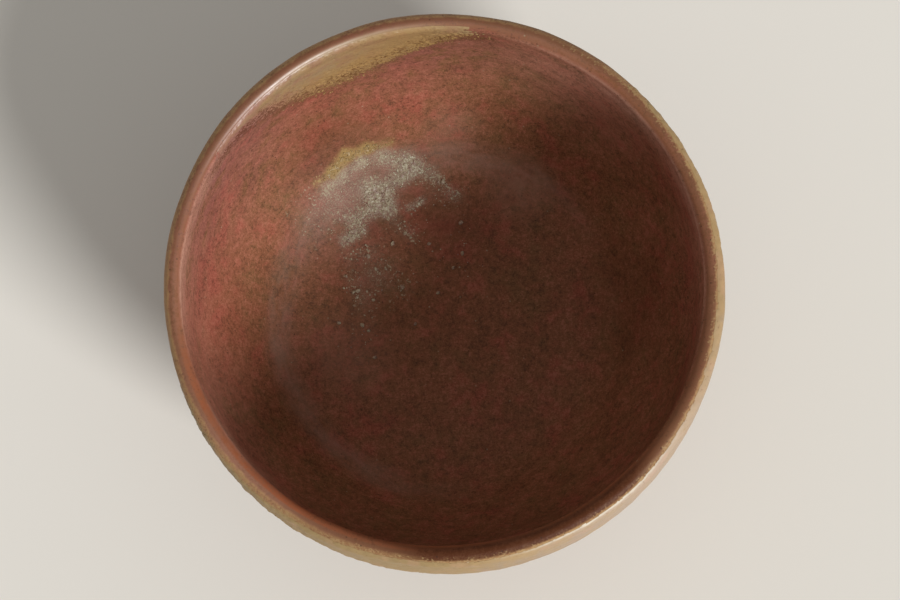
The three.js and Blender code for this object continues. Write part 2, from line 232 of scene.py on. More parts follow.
class BowlColours(bpy.types.PropertyGroup):
    """Colours of the clay and of the ash"""

    clay: colour("Clay", "Fired clay of the body", 128, 83, 57)
    flush: colour("Flush", "Clay that the flame turned lighter", 176, 115, 94)
    # Also paints the warm tint of sunlight on the lit walls
    red_clay_and_warm_light: colour("Red clay", "Clay that the flame turned redder", 154, 76, 64)
    orange_clay: colour("Orange clay", "Clay inside the lip that flushed orange", 150, 84, 54)
    olive_clay: colour("Olive clay", "Clay where the smoke settled", 116, 88, 56)
    mauve_clay: colour("Mauve clay", "Clay with a haze of fumed ash", 140, 90, 86)
    # Also paints shade on the floor and on the wall turned from the sun
    scorch_and_painted_shade: colour("Scorch", "Clay that the flame darkened", 80, 42, 21)
    # Also paints light where the sun's light ends on wall and floor
    lip_pale: colour("Lip pale", "Pale clay inside the lip", 188, 142, 122)
    lip_brown: colour("Lip brown", "Clay along the crest", 114, 76, 53)
    # Made lighter to paint in light bounced up onto the outside of the lip
    lip_olive_and_bounce_light: colour("Lip olive", "Thin ash dust outside the crest", 158, 124, 84)
    foot_clay: colour("Foot", "Bare clay of the foot", 158, 108, 80)
    speck: colour("Specks", "Dark specks of iron in the clay", 46, 31, 24)
    # Laid more on the side turned to the sun, where the paler coat is partly painted light
    pale_ash: colour("Pale ash", "Outer coat where it is thick", 152, 131, 108)
    # Also paints the highlight along the coat's top edge, and the paler grey on the side facing the sun
    edge_ash_and_highlight: colour("Edge ash", "Outer coat along its top edge", 172, 152, 134)
    khaki_ash: colour("Khaki ash", "Outer coat where it is thin", 160, 132, 92)
    olive_ash: colour("Olive ash", "Outer coat at its ends", 140, 118, 80)
    tan_ash: colour("Tan ash", "Patch inside the lip", 152, 127, 94)
    ochre_ash: colour("Ochre ash", "Grains along the lower edge of that patch", 156, 123, 76)
    yellow_ash: colour("Yellow ash", "Patch at the turn of the well", 150, 123, 76)
    grey_ash: colour("Grey ash", "Grains on the floor", 166, 156, 130)
    # Also paints the glint along the coat's top edge, a painted highlight
    white_ash_and_glint: colour("White ash", "Brightest grains, and the line along the coat's top edge", 208, 201, 184)
    # Also paints a sheen along the turn of the well where it faces the sun
    film_ash_and_sheen: colour("Film ash", "Thin ash between the grains on the floor", 140, 114, 100)
    floor: colour("Floor", "Floor that the bowl stands on", 224, 220, 212)


def polar(azimuth, radius, height):
    """A place in the bowl's frame from an azimuth in degrees and two lengths"""
    turn = math.radians(azimuth)
    return Vector((radius * math.cos(turn), radius * math.sin(turn), height))


# Sections of the clay

def station(radius, height, slope):
    """A place on a section, and the direction in which the curve runs through it"""
    return Vector((radius, height)), Vector((math.cos(slope), math.sin(slope)))


def curve_through(stations, step):
    """Points on a smooth curve through the stations, about a step apart"""
    points = []
    for (start, leaving), (end, arriving) in zip(stations, stations[1:]):
        chord = (end - start).length
        handle = CURVE_HANDLE * chord
        pieces = max(2, round(chord / step))
        curve = interpolate_bezier(start, start + leaving * handle, end - arriving * handle, end, pieces + 1)
        points += [Vector(point) for point in curve[:-1]]
    return points + [stations[-1][0]]


def crown(sizes, side):
    """The quarter ellipse from the wall to the crest of the lip; side is 1 outside, -1 inside"""
    middle = (sizes.lip_diameter - sizes.lip_thickness) / 2
    spring = sizes.height - sizes.lip_crown
    points = []
    for step in range(1, CROWN_STEPS + 1):
        turn = math.pi / 2 * step / CROWN_STEPS
        across = middle + side * sizes.lip_thickness / 2 * math.cos(turn)
        points.append(Vector((across, spring + sizes.lip_crown * math.sin(turn))))
    return points


def outside_section(sizes):
    """The outside from the foot's lute up to the crest"""
    floor_top = sizes.foot_height + sizes.floor_thickness
    slope = sizes.well_slope
    hip_radius = sizes.well_diameter / 2 + sizes.hip_thickness * math.sin(slope)
    hip_height = floor_top + sizes.well_rise - sizes.hip_thickness * math.cos(slope)
    foot_edge = LUTE_HIGH.x
    stations = [
        station(foot_edge, sizes.foot_height, sizes.underside_slope),
        station(hip_radius, hip_height, slope),
        station(sizes.belly_diameter / 2, sizes.height - sizes.belly_drop, sizes.belly_slope),
        station(sizes.lip_diameter / 2, sizes.height - sizes.lip_crown, sizes.belly_slope + sizes.lip_lean),
    ]
    return curve_through(stations, sizes.profile_step) + crown(sizes, 1)


def inside_section(sizes):
    """The inside from the middle of the floor up to the crest"""
    floor_top = sizes.foot_height + sizes.floor_thickness
    belly_radius = sizes.belly_diameter / 2 - sizes.wall_thickness
    lip_radius = sizes.lip_diameter / 2 - sizes.lip_thickness
    stations = [
        station(0, floor_top - sizes.pool_depth, 0),
        station(sizes.pool_diameter / 2, floor_top, sizes.pool_slope),
        station(sizes.well_diameter / 2, floor_top + sizes.well_rise, sizes.well_slope),
        station(belly_radius, sizes.height - sizes.belly_drop, sizes.belly_inside_slope),
        station(lip_radius, sizes.height - sizes.lip_crown, sizes.lip_inside_slope),
    ]
    return curve_through(stations, sizes.profile_step) + crown(sizes, -1)


def distances(points):
    """How far along a chain each of its points lies from the first"""
    steps = [(after - before).length for before, after in zip(points, points[1:])]
    return [0.0, *np.cumsum(steps).tolist()]


def way_to_well(sizes):
    """The way along the inside from the middle of the floor to the ring where it turns up"""
    points = inside_section(sizes)
    along = distances(points)
    return next(at for point, at in zip(points, along) if point.x >= sizes.well_diameter / 2)


def fade(value, low, high):
    """0 up to low, 1 from high, and smooth between them"""
    part = min(1.0, max(0.0, (value - low) / (high - low)))
    return part * part * (3 - 2 * part)


def ring_height(from_crest, sizes):
    """How far the throwing rings and the crease raise the clay at a distance from the crest"""
    away = abs(from_crest)
    depth = sizes.ring_depth_inside if from_crest > 0 else sizes.ring_depth_outside
    turns = math.tau * away / sizes.ring_pitch
    ripple = sum(wave * math.sin(rate * turns + start) for wave, rate, start in RING_WAVES)
    height = depth * ripple * fade(away, *RING_FADE)
    if from_crest > 0:
        height -= sizes.crease_depth * math.exp(-(((away - sizes.crease_drop) / CREASE_WIDTH) ** 2))
    return height


def raised(points, from_crest, sizes):
    """The points of a face with the throwing rings raised on them, square to the face"""
    result = []
    for index, point in enumerate(points):
        before = points[max(0, index - 1)]
        after = points[min(len(points) - 1, index + 1)]
        run = (after - before).normalized()
        square = Vector((run.y, -run.x))
        result.append(point + square * ring_height(from_crest[index], sizes))
    return result


def body_section(sizes):
    """The section of the body as points, with the distance of each from the crest.
    Distances are above zero on the inside and below it on the outside."""
    outside = outside_section(sizes)
    outside_along = distances(outside)
    outside_from = [along - outside_along[-1] for along in outside_along]
    inside = inside_section(sizes)
    inside_along = distances(inside)
    inside_from = [inside_along[-1] - along for along in inside_along]
    up = raised(outside, outside_from, sizes)
    down = raised(inside[::-1], inside_from[::-1], sizes)[1:]
    steps = round(outside[0].x / (2 * sizes.profile_step))
    under = [Vector((outside[0].x * step / steps, sizes.foot_height)) for step in range(steps)]
    under_from = [outside_from[0] - (outside[0] - point).length for point in under]
    down[-1].x = 0
    return under + up + down, under_from + outside_from + inside_from[::-1][1:]


def foot_side(sizes, wall, side):
    """One side of the foot ring, from the face that it stands on up to the bowl; side is 1
    outside, -1 inside"""
    edge = sizes.foot_edge
    low = wall - side * sizes.foot_taper
    rise = sizes.foot_height - edge
    points = []
    for step in range(EDGE_STEPS + 1):
        turn = math.pi / 2 * step / EDGE_STEPS
        points.append(Vector((low - side * (edge - edge * math.sin(turn)), edge - edge * math.cos(turn))))
    for step in range(1, SIDE_STEPS + 1):
        part = step / SIDE_STEPS
        points.append(Vector((low + side * sizes.foot_taper * part, edge + rise * part)))
    return points


def lute_section(sizes, wall, side):
    """The roll of clay in the corner on one side of the foot ring, hollowed by the thumb"""
    top = sizes.foot_height
    low = Vector((wall, top - sizes.lute_size))
    far = Vector((wall + side * sizes.lute_size, top))
    corner = Vector((wall, top))
    middle = low.lerp(far, 0.5)
    hollow = middle + (corner - middle).normalized() * sizes.lute_hollow
    face = interpolate_bezier(low, low.lerp(hollow, LUTE_PULL), far.lerp(hollow, LUTE_PULL), far, SIDE_STEPS)
    return [Vector(point) for point in face] + [corner, low.copy()]


# Modelling with Blender's own tools

def deselect_all():
    """Leaves edit mode and deselects every object"""
    if bpy.context.object and bpy.context.object.mode != "OBJECT":
        bpy.ops.object.mode_set(mode="OBJECT")
    bpy.ops.object.select_all(action="DESELECT")


def pick(piece):
    """Makes a piece the one selected and active object"""
    deselect_all()
    piece.select_set(True)
    bpy.context.view_layer.objects.active = piece


def made(name):
    """Names what the last operator made, and gives it"""
    piece = bpy.context.object
    piece.name = piece.data.name = name
    return piece


def edit_whole():
    """Opens the active piece in edit mode with all of it selected"""
    bpy.ops.object.mode_set(mode="EDIT")
    bpy.ops.mesh.select_all(action="SELECT")


def drop_uvs(mesh):
    """Takes away the texture places that an operator left"""
    for layer in list(mesh.uv_layers):
        mesh.uv_layers.remove(layer)


def add_modifier(piece, kind, **settings):
    """Adds a modifier to a piece and applies it"""
    pick(piece)
    bpy.ops.object.modifier_add(type=kind)
    modifier = piece.modifiers[-1]
    for name, value in settings.items():
        setattr(modifier, name, value)
    bpy.ops.object.modifier_apply(modifier=modifier.name)


def turn_section(name, points, steps):
    """Draws a section as a chain of edges and turns it round the axis into a closed skin"""
    deselect_all()
    bpy.ops.mesh.primitive_plane_add(size=MM, location=(0, 0, 0))
    piece = made(name)
    bpy.ops.object.mode_set(mode="EDIT")
    bpy.ops.mesh.select_mode(type="VERT")
    bpy.ops.mesh.select_all(action="SELECT")
    bpy.ops.mesh.merge(type="CENTER")
    bpy.ops.transform.translate(value=(points[0].x, 0, points[0].y))
    for before, after in zip(points, points[1:]):
        step = (after.x - before.x, 0, after.y - before.y)
        bpy.ops.mesh.extrude_region_move(TRANSFORM_OT_translate={"value": step})
    bpy.ops.object.mode_set(mode="OBJECT")
    add_modifier(
        piece, "SCREW", axis="Z", angle=math.tau, steps=steps, render_steps=steps,
        use_merge_vertices=True, merge_threshold=WELD,
    )
    edit_whole()
    bpy.ops.mesh.remove_doubles(threshold=WELD)
    bpy.ops.mesh.normals_make_consistent(inside=False)
    bpy.ops.object.mode_set(mode="OBJECT")
    drop_uvs(piece.data)
    return piece


def wander(piece, name, size, height):
    """Moves the skin of a piece in and out by soft clouds of one size"""
    texture = bpy.data.textures.new(name, "CLOUDS")
    texture.noise_scale = size
    texture.noise_depth = 2
    add_modifier(piece, "DISPLACE", texture=texture, strength=height, mid_level=0.5)


def read(items, key, width=1, kind=float):
    """What each item of a mesh holds under a key, one row each where that has a width"""
    values = np.empty(len(items) * width, kind)
    items.foreach_get(key, values)
    return values.reshape(-1, width) if width > 1 else values


def places_of(mesh):
    """The places of a mesh's vertices, one row each"""
    return read(mesh.vertices, "co", 3)


def values_of(mesh, name):
    """The values of a vertex attribute"""
    return read(mesh.attributes[name].data, "value")


def mark(mesh, name, values):
    """Stores a value for each vertex as an attribute that the materials read"""
    attribute = mesh.attributes.get(name) or mesh.attributes.new(name, "FLOAT", "POINT")
    attribute.data.foreach_set("value", np.asarray(values, np.float32))


def mark_from_crest(piece, points, from_crest):
    """Marks each vertex of a turned piece with its distance from the crest, along the section"""
    tree = KDTree(len(points))
    for index, point in enumerate(points):
        tree.insert((point.x, point.y, 0), index)
    tree.balance()
    found = []
    for vertex in piece.data.vertices:
        at = (math.hypot(vertex.co.x, vertex.co.y), vertex.co.z, 0)
        found.append(from_crest[tree.find(at)[1]])
    mark(piece.data, "from_crest", found)


def delete_faces(piece, kept):
    """Deletes the faces whose mean of a value at the vertices is below zero"""
    mesh = piece.data
    at_corners = kept[read(mesh.loops, "vertex_index", kind=int)]
    sides = read(mesh.polygons, "loop_total", kind=int)
    mean = np.add.reduceat(at_corners, read(mesh.polygons, "loop_start", kind=int)) / sides
    pick(piece)
    bpy.ops.object.mode_set(mode="EDIT")
    bpy.ops.mesh.select_mode(type="FACE")
    bpy.ops.mesh.select_all(action="DESELECT")
    bpy.ops.object.mode_set(mode="OBJECT")
    mesh.polygons.foreach_set("select", mean < 0)
    bpy.ops.object.mode_set(mode="EDIT")
    bpy.ops.mesh.delete(type="FACE")
    bpy.ops.object.mode_set(mode="OBJECT")


def smooth(piece, degrees):
    """Shades a piece smooth, apart from edges sharper than an angle"""
    pick(piece)
    bpy.ops.object.shade_smooth_by_angle(angle=math.radians(degrees))


def settle(piece, finish, node):
    """Gives a piece its finish, hangs it under the frame's root, and hides the part of the frame that it
    stands for
    """
    piece.data.materials.clear()
    piece.data.materials.append(finish)
    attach(piece, "root")
    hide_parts(node)


def find_piece(name):
    """A piece that an earlier operator made"""
    if name not in bpy.data.objects:
        raise RuntimeError(f"{name} has to be made first")
    return bpy.data.objects[name]


# Layers of ash

@dataclass
class AshLayer:
    """Where a layer of ash lies: between two azimuths and two outlines. An outline gives the
    distance from the crest at an azimuth. The softness of an edge is how far it breaks up,
    and calm is the share of that along the upper edge."""

    first: float
    last: float
    upper: object
    lower: object
    upper_soft: float
    lower_soft: float
    end_soft: float
    side: int
    calm: float = 1.0

    def hold(self, places, from_crest):
        """How firmly the layer holds at each place: above 1 it is whole, below -1 it is gone"""
        azimuth = azimuth_of(places)
        radius = np.hypot(places[:, 0], places[:, 1])
        away = self.side * from_crest
        along = np.radians(1) * radius
        edges = [
            (away - self.upper(azimuth)) / self.upper_soft,
            (self.lower(azimuth) - away) / self.lower_soft,
            (azimuth - self.first) * along / self.end_soft,
            (self.last - azimuth) * along / self.end_soft,
        ]
        return np.clip(np.minimum.reduce(edges), NO_HOLD, -NO_HOLD)

    def hold_on(self, mesh):
        """The hold at each vertex of a mesh, and none on the other side of the clay"""
        from_crest = values_of(mesh, "from_crest")
        hold = self.hold(places_of(mesh), from_crest)
        return np.where(self.side * from_crest < 0, NO_HOLD, hold)

    def breaks(self, places, from_crest):
        """The share of the break-up at each place, from calm at the upper edge to 1"""
        below = self.side * from_crest - self.upper(azimuth_of(places))
        return self.calm + (1 - self.calm) * np.clip(below / CALM_BAND, 0, 1)


def azimuth_of(places):
    """The azimuth of each place, in degrees"""
    return np.degrees(np.arctan2(places[:, 1], places[:, 0]))


def outline_at(outline, azimuth):
    """The value of an outline at each azimuth, with its corners rounded off"""
    at, reach = np.array(outline).T
    values = [np.interp(azimuth + turn, at, reach) for turn in OUTLINE_TURNS]
    return sum(values) / len(values)


def coat_layer(sizes):
    """The coat on the outside, from the lip down"""
    return AshLayer(
        first=-150, last=42, side=-1,
        upper=lambda azimuth: sizes.coat_top * outline_at(COAT_TOP, azimuth),
        lower=lambda azimuth: sizes.coat_drop * outline_at(COAT_REACH, azimuth),
        upper_soft=0.5 * MM, lower_soft=7 * MM, end_soft=12 * MM, calm=0.45,
    )


def lip_patch_layer(sizes):
    """The tongue of ash inside the lip"""
    return AshLayer(
        first=84, last=150, side=1,
        upper=lambda azimuth: sizes.lip_patch_top + 0 * azimuth,
        lower=lambda azimuth: sizes.lip_patch_drop * outline_at(LIP_PATCH_REACH, azimuth),
        upper_soft=0.5 * MM, lower_soft=2.8 * MM, end_soft=3 * MM, calm=0.05,
    )


def well_layer(sizes, near, far, first, last, soft):
    """A layer in the well, between two outlines that are shares of the way to its turn"""
    way = way_to_well(sizes)
    whole = distances(inside_section(sizes))[-1]
    return AshLayer(
        first=first, last=last, side=1,
        upper=lambda azimuth: whole - way * outline_at(far, azimuth),
        lower=lambda azimuth: whole - way * outline_at(near, azimuth),
        upper_soft=soft, lower_soft=soft, end_soft=2 * soft,
    )


def well_patch_layer(sizes):
    """The yellow patch at the turn of the well"""
    return well_layer(sizes, WELL_PATCH_NEAR, WELL_PATCH_FAR, first=106, last=132, soft=1.0 * MM)


def drift_layer(sizes):
    """The grey drift on the floor"""
    return well_layer(sizes, DRIFT_NEAR, DRIFT_FAR, first=96, last=142, soft=1.8 * MM)


def unevenness(places, size, seed):
    """Smooth noise at each place, mostly between -1 and 1"""
    shift = Vector((seed, 2 * seed, 3 * seed))
    return np.array([noise.fractal(Vector(place) / size + shift, 1.0, 2.0, 3) for place in places])


def lift_layer(
    body, name, layer, thickness, cuts, break_size, breakup, lump_size, lumps,
    rise=1.2, runs=0.0, swarms=None,
):
    """Copies the skin of the body under a layer of ash, cuts it finer, breaks it up and gives
    it its thickness. breakup is how far the breaks reach, lumps how uneven the layer is and
    rise how softly it thickens from its edge. Runs are how far it ran down in streaks, and
    swarms limit it to where they are thick."""
    pick(body)
    bpy.ops.object.duplicate()
    piece = made(name)
    delete_faces(piece, layer.hold_on(piece.data) + LIFT_MARGIN)
    edit_whole()
    bpy.ops.mesh.subdivide(number_cuts=cuts)
    bpy.ops.object.mode_set(mode="OBJECT")
    places = places_of(piece.data)
    from_crest = values_of(piece.data, "from_crest")
    hold = layer.hold(places, from_crest)
    if swarms:
        hold = np.minimum(hold, BED_SHARPNESS * (swarm_density(places, swarms) - BED_DENSITY))
    uneven = breakup * unevenness(places, break_size, BREAK_SEED)
    if runs:
        uneven += runs * unevenness(places * DRAWN_DOWN, RUN_WIDTH, RUN_SEED)
    mark(piece.data, "hold", hold + layer.breaks(places, from_crest) * uneven)
    delete_faces(piece, values_of(piece.data, "hold"))
    mesh = piece.data
    height = 1 - lumps + lumps * unevenness(places_of(mesh), lump_size, LUMP_SEED)
    weights = np.clip(np.clip(values_of(mesh, "hold") / rise, 0, 1) * height, 0, 1)
    group = piece.vertex_groups.new(name="thickness")
    for index, weight in enumerate(weights.tolist()):
        group.add([index], weight, "REPLACE")
    mark(mesh, "thick", weights)
    add_modifier(
        piece, "SOLIDIFY", thickness=thickness, offset=1, vertex_group=group.name,
        thickness_vertex_group=THINNEST_SHARE, use_rim=True,
    )
    piece.vertex_groups.clear()
    smooth(piece, LAYER_ANGLE)
    return piece


def fire_layer(context, name, layer, thickness, finish, slot, node, **breaks):
    """Lifts a layer of ash from the body, and settles it in the frame"""
    piece = lift_layer(find_piece("bowl_body"), name, layer, thickness, **breaks)
    settle(piece, finish(context.scene.bowl_colours), node)
    return {"FINISHED"}


# Grains of ash

def model_grain(name, segments, rings):
    """One grain of ash, 1 m across: a low lump with a flat underside and a rough skin"""
    deselect_all()
    bpy.ops.mesh.primitive_uv_sphere_add(segments=segments, ring_count=rings, radius=0.5, location=(0, 0, 0))
    piece = made(name)
    edit_whole()
    cut = (0, 0, -GRAIN_CUT)
    bpy.ops.mesh.bisect(plane_co=cut, plane_no=(0, 0, 1), clear_inner=True, use_fill=True)
    bpy.ops.mesh.select_all(action="SELECT")
    bpy.ops.transform.translate(value=(0, 0, GRAIN_CUT / 2))
    bpy.ops.transform.resize(value=GRAIN_SQUASH, center_override=(0, 0, 0))
    bpy.ops.object.mode_set(mode="OBJECT")
    wander(piece, name, *GRAIN_LUMPS)
    drop_uvs(piece.data)
    smooth(piece, SOFT_ANGLE)
    return piece


def ground_under(body):
    """The body's skin as a tree in which rays are cast"""
    return BVHTree.FromObject(body, bpy.context.evaluated_depsgraph_get())


def drop_grain(ground, model, name, place, diameter, turn):
    """A copy of the grain, with its own mesh, seated on the clay straight under a place"""
    top = Vector((place[0], place[1], BODY_HIGH.z))
    spot, square, _, _ = ground.ray_cast(top, Vector((0, 0, -1)))
    if spot is None:
        raise RuntimeError(f"no clay under {place}")
    grain = bpy.data.objects.new(name, model.data.copy())
    bpy.context.scene.collection.objects.link(grain)
    lean = square.to_track_quat("Z", "Y").to_matrix().to_4x4()
    spin = Matrix.Rotation(turn, 4, "Z")
    grain.data.transform(Matrix.Translation(spot) @ lean @ spin @ Matrix.Scale(diameter, 4))
    return grain


def join(pieces, name):
    """Joins pieces into one, under a new name"""
    deselect_all()
    for piece in pieces:
        piece.select_set(True)
    bpy.context.view_layer.objects.active = pieces[0]
    bpy.ops.object.join()
    return made(name)


# Swarms of grains on the floor: start and end of the swarm's middle line and its half width,
# in millimetres from the bowl's axis, how many grains, their mean diameter, and how thick
# the dust is between them
GREY_SWARMS = [
    ((-37.5, 26.9), (-28.7, 34.9), 2.6, 0, 0.3, 0.22),
    ((-33.3, 22.6), (-26.4, 31.7), 2.4, 0, 0.3, 0.2),
    ((-28.0, 31.0), (-13.0, 37.0), 4.2, 0, 0.3, 0.2),
    ((-31.0, 33.4), (-27.4, 37.0), 0.9, 16, 0.3, 0.4),
    ((-27.4, 37.0), (-21.8, 40.6), 0.7, 34, 0.34, 0.7),
    ((-21.8, 41.1), (-16.2, 42.6), 0.8, 24, 0.34, 0.5),
    ((-16.2, 42.4), (-9.2, 40.5), 1.2, 52, 0.38, 0.6),
    ((-10.2, 41.8), (-4.3, 38.7), 1.3, 52, 0.4, 0.65),
    ((-16.4, 35.1), (-10.7, 38.4), 1.0, 50, 0.4, 0.85),
    ((-20.5, 34.7), (-15.5, 30.7), 1.4, 72, 0.4, 1.0),
    ((-24.7, 26.7), (-18.0, 30.4), 1.2, 50, 0.38, 0.75),
    ((-26.8, 21.6), (-22.2, 24.3), 0.7, 34, 0.42, 0.85),
    ((-10.3, 30.3), (-6.7, 32.1), 0.3, 12, 0.42, 0.6),
    ((-25.3, 17.3), (-19.6, 19.5), 1.5, 14, 0.44, 0.3),
    ((-19.6, 14.3), (-14.5, 16.4), 1.6, 10, 0.44, 0.25),
    ((-24.8, 11.6), (-22.2, 6.5), 1.8, 14, 0.46, 0.25),
    ((-18.1, 11.7), (-11.4, 9.8), 2.0, 10, 0.42, 0.2),
    ((-5.1, 33.3), (3.1, 33.3), 1.5, 10, 0.42, 0.2),
    ((-2.0, 37.3), (2.1, 33.3), 0.8, 8, 0.42, 0.3),
    ((-13.4, 26.7), (-9.3, 23.2), 1.4, 10, 0.44, 0.3),
    ((-20.0, 8.0), (-23.0, -7.0), 3.5, 22, 0.42, 0.15),
    ((-10.0, 14.0), (6.0, 24.0), 11.0, 40, 0.34, 0.05),
]
YELLOW_SWARMS = [
    ((-33.6, 34.4), (-29.3, 37.6), 0.4, 14, 0.34, 0.5),
    ((-29.3, 37.6), (-25.7, 41.5), 0.6, 40, 0.4, 1.0),
    ((-25.7, 41.5), (-20.1, 43.7), 0.45, 34, 0.38, 0.9),
    ((-20.1, 43.7), (-14.1, 45.4), 0.4, 24, 0.36, 0.6),
]


def swarm_density(places, swarms):
    """How thick the dust of the swarms is at each place"""
    density = np.zeros(len(places))
    for start, end, half_width, _, _, strength in swarms:
        first = np.array(start) * MM
        line = np.array(end) * MM - first
        part = np.clip((places[:, :2] - first) @ line / (line @ line), 0, 1)
        away = np.hypot(*(places[:, :2] - first - part[:, None] * line).T)
        density += strength * np.exp(-0.5 * (away / (half_width * MM + DUST_SPREAD * MM)) ** 2)
    return np.clip(density, 0, THICKEST_DUST)


def drop_swarms(ground, model, swarms, seed):
    """Copies of the grain over the swarms, thickest along the middle line of each"""
    draw = np.random.default_rng(seed)
    grains = []
    for start, end, half_width, number, mean, _ in swarms:
        line = Vector(end) - Vector(start)
        across = Vector((-line.y, line.x)).normalized()
        for _ in range(number):
            place = Vector(start) + line * draw.uniform(*SWARM_ENDS)
            place += across * draw.normal(0, GRAIN_SPREAD * half_width)
            place += Vector(draw.normal(0, DUST_SPREAD, 2))
            diameter = mean * draw.lognormal(0, DIAMETER_SPREAD)
            turn = draw.uniform(0, math.tau)
            grains.append(drop_grain(ground, model, "grain", place * MM, diameter * MM, turn))
    return grains


# Finishes

class Recipe:
    """One material: the colour laid down so far, and a short call for each kind of node"""

    def __init__(self, name, tone):
        self.material = bpy.data.materials.new(name)
        self.material.use_nodes = True
        self.nodes = self.material.node_tree.nodes
        self.links = self.material.node_tree.links
        self.shader = self.nodes["Principled BSDF"]
        self.place = self.nodes.new("ShaderNodeTexCoord").outputs["Object"]
        self.tone = tone

    def feed(self, socket, value):
        """Links a node's output to a socket, or sets the socket's own value"""
        if isinstance(value, bpy.types.NodeSocket):
            self.links.new(value, socket)
        else:
            socket.default_value = value

    def node(self, kind, inputs, **settings):
        """A node with its settings and inputs"""
        node = self.nodes.new(kind)
        for name, value in settings.items():
            setattr(node, name, value)
        for name, value in inputs.items():
            self.feed(node.inputs[name], value)
        return node

    def math(self, operation, *values):
        """A sum over several values, one after the other"""
        total = values[0]
        for value in values[1:]:
            inputs = {0: total, 1: value}
            total = self.node("ShaderNodeMath", inputs, operation=operation).outputs[0]
        return total

    def times(self, *values):
        """A product"""
        return self.math("MULTIPLY", *values)

    def plus(self, *values):
        """A sum"""
        return self.math("ADD", *values)

    def either(self, *values):
        """The largest of several values"""
        return self.math("MAXIMUM", *values)

    def without(self, value):
        """What a share leaves of 1"""
        return self.math("SUBTRACT", 1.0, value)

    def vector(self, operation, *inputs, output=0):
        """The result of a sum of places"""
        inputs = dict(enumerate(inputs))
        return self.node("ShaderNodeVectorMath", inputs, operation=operation).outputs[output]

    def attribute(self, name):
        """A value that the mesh holds"""
        return self.node("ShaderNodeAttribute", {}, attribute_name=name).outputs["Fac"]

    def noise(self, size, detail=2.0, roughness=0.5, vector=None):
        """Noise from 0 to 1 whose lumps are of about a size, in millimetres"""
        inputs = {"Vector": vector or self.place, "Scale": 1 / (size * MM)}
        inputs.update(Detail=detail, Roughness=roughness)
        return self.node("ShaderNodeTexNoise", inputs).outputs["Fac"]

    def swing(self, size, strength, detail=2.0, vector=None):
        """The same noise about zero"""
        return self.times(self.math("SUBTRACT", self.noise(size, detail, vector=vector), 0.5), strength)

    def between(self, value, low, high):
        """0 at low, 1 at high, and smooth between them"""
        inputs = {"Value": value, "From Min": low, "From Max": high}
        return self.node("ShaderNodeMapRange", inputs, interpolation_type="SMOOTHSTEP").outputs["Result"]

    def strip(self, from_crest, start, full, fading, end):
        """1 from full to fading, and 0 up to start and from end, in millimetres from the crest"""
        rising = self.between(from_crest, start * MM, full * MM)
        return self.times(rising, self.between(from_crest, end * MM, fading * MM))

    def spot(self, centre, reach):
        """1 at a centre, falling smoothly to 0 at its reach"""
        return self.between(self.vector("DISTANCE", self.place, centre, output="Value"), reach, 0)

    def patches(self, places):
        """The strongest of several spots, each an azimuth, a radius, a height, a reach and a
        strength, in degrees and millimetres"""
        spots = []
        for azimuth, radius, height, reach, strength in places:
            spot = self.spot(polar(azimuth, radius * MM, height * MM), reach * MM)
            spots.append(self.times(spot, strength))
        return self.either(0.0, *spots)

    def mix(self, factor, first, second):
        """One colour laid over another"""
        inputs = {0: factor, 6: opaque(first), 7: opaque(second)}
        return self.node("ShaderNodeMix", inputs, data_type="RGBA").outputs[2]

    def lay(self, tone, *shares):
        """Lays a colour over the one so far, by the product of several shares"""
        self.tone = self.mix(self.times(*shares), self.tone, tone)

    def ramp(self, value, stops):
        """A colour from a row of stops, each a value from 0 to 1 and a colour"""
        node = self.node("ShaderNodeValToRGB", {"Fac": value})
        elements = node.color_ramp.elements
        while len(elements) < len(stops):
            elements.new(0.5)
        for element, (at, tone) in zip(elements, stops):
            element.position = at
            element.color = opaque(tone)
        return node.outputs["Color"]

    def specks(self, size, radius, some):
        """1 in small round specks: their spacing in millimetres, their radius as a share of it,
        and the share of them that show"""
        cells = self.node("ShaderNodeTexVoronoi", {"Vector": self.place, "Scale": 1 / (size * MM)})
        tone = self.node("ShaderNodeSeparateColor", {"Color": cells.outputs["Color"]}).outputs[0]
        shown = self.math("LESS_THAN", tone, some)
        return self.times(self.between(cells.outputs["Distance"], radius, 0.5 * radius), shown)

    def rings(self, from_crest):
        """Places along the throwing rings, so that noise on them draws out round the bowl"""
        round_the_axis = self.vector("NORMALIZE", self.vector("MULTIPLY", self.place, (1, 1, 0)))
        circle = self.vector("MULTIPLY", round_the_axis, (RING_NOISE_RADIUS,) * 3)
        down = self.node("ShaderNodeCombineXYZ", {"Z": from_crest}).outputs[0]
        return self.vector("ADD", circle, down)

    def finish(self, roughness, specular, height, depth):
        """Joins the colour, a roughness, a gloss and a bump to the shader, and gives the
        material"""
        values = {"Base Color": self.tone, "Roughness": roughness, "Specular IOR Level": specular}
        for name, value in values.items():
            self.feed(self.shader.inputs[name], value)
        bump = self.node("ShaderNodeBump", {"Height": height, "Distance": depth, "Strength": 1.0})
        self.links.new(bump.outputs["Normal"], self.shader.inputs["Normal"])
        return self.material


def opaque(tone):
    """A colour with its fourth value, or a link as it is"""
    if isinstance(tone, bpy.types.NodeSocket):
        return tone
    return (*tone[:3], 1.0)


# Spots that the finishes pick out, each an azimuth, a radius and a height, a reach and a
# strength, in degrees and millimetres. First the clay that the flame turned lighter.
FLUSHES = [
    (6, 60, 70, 36, 0.9), (26, 60, 74, 28, 0.95), (54, 60, 66, 34, 1.0), (182, 60, 70, 38, 1.0),
    (214, 60, 66, 38, 1.0),
]

# Clay that it turned redder, mauve and darker, and the pale stretches inside the lip. The red spots lie on
# the sunlit walls and are partly a painted warm tint of the sunlight; among the dark and pale spots are
# painted shade and painted light
REDS_AND_PAINTED_WARM_LIGHT = [(158, 60, 58, 26, 0.3), (186, 57, 50, 42, 0.42), (112, 58, 62, 40, 0.45)]
MAUVES = [(150, 58, 66, 46, 0.65), (100, 58, 66, 44, 0.5), (130, 40, 24, 26, 0.45)]
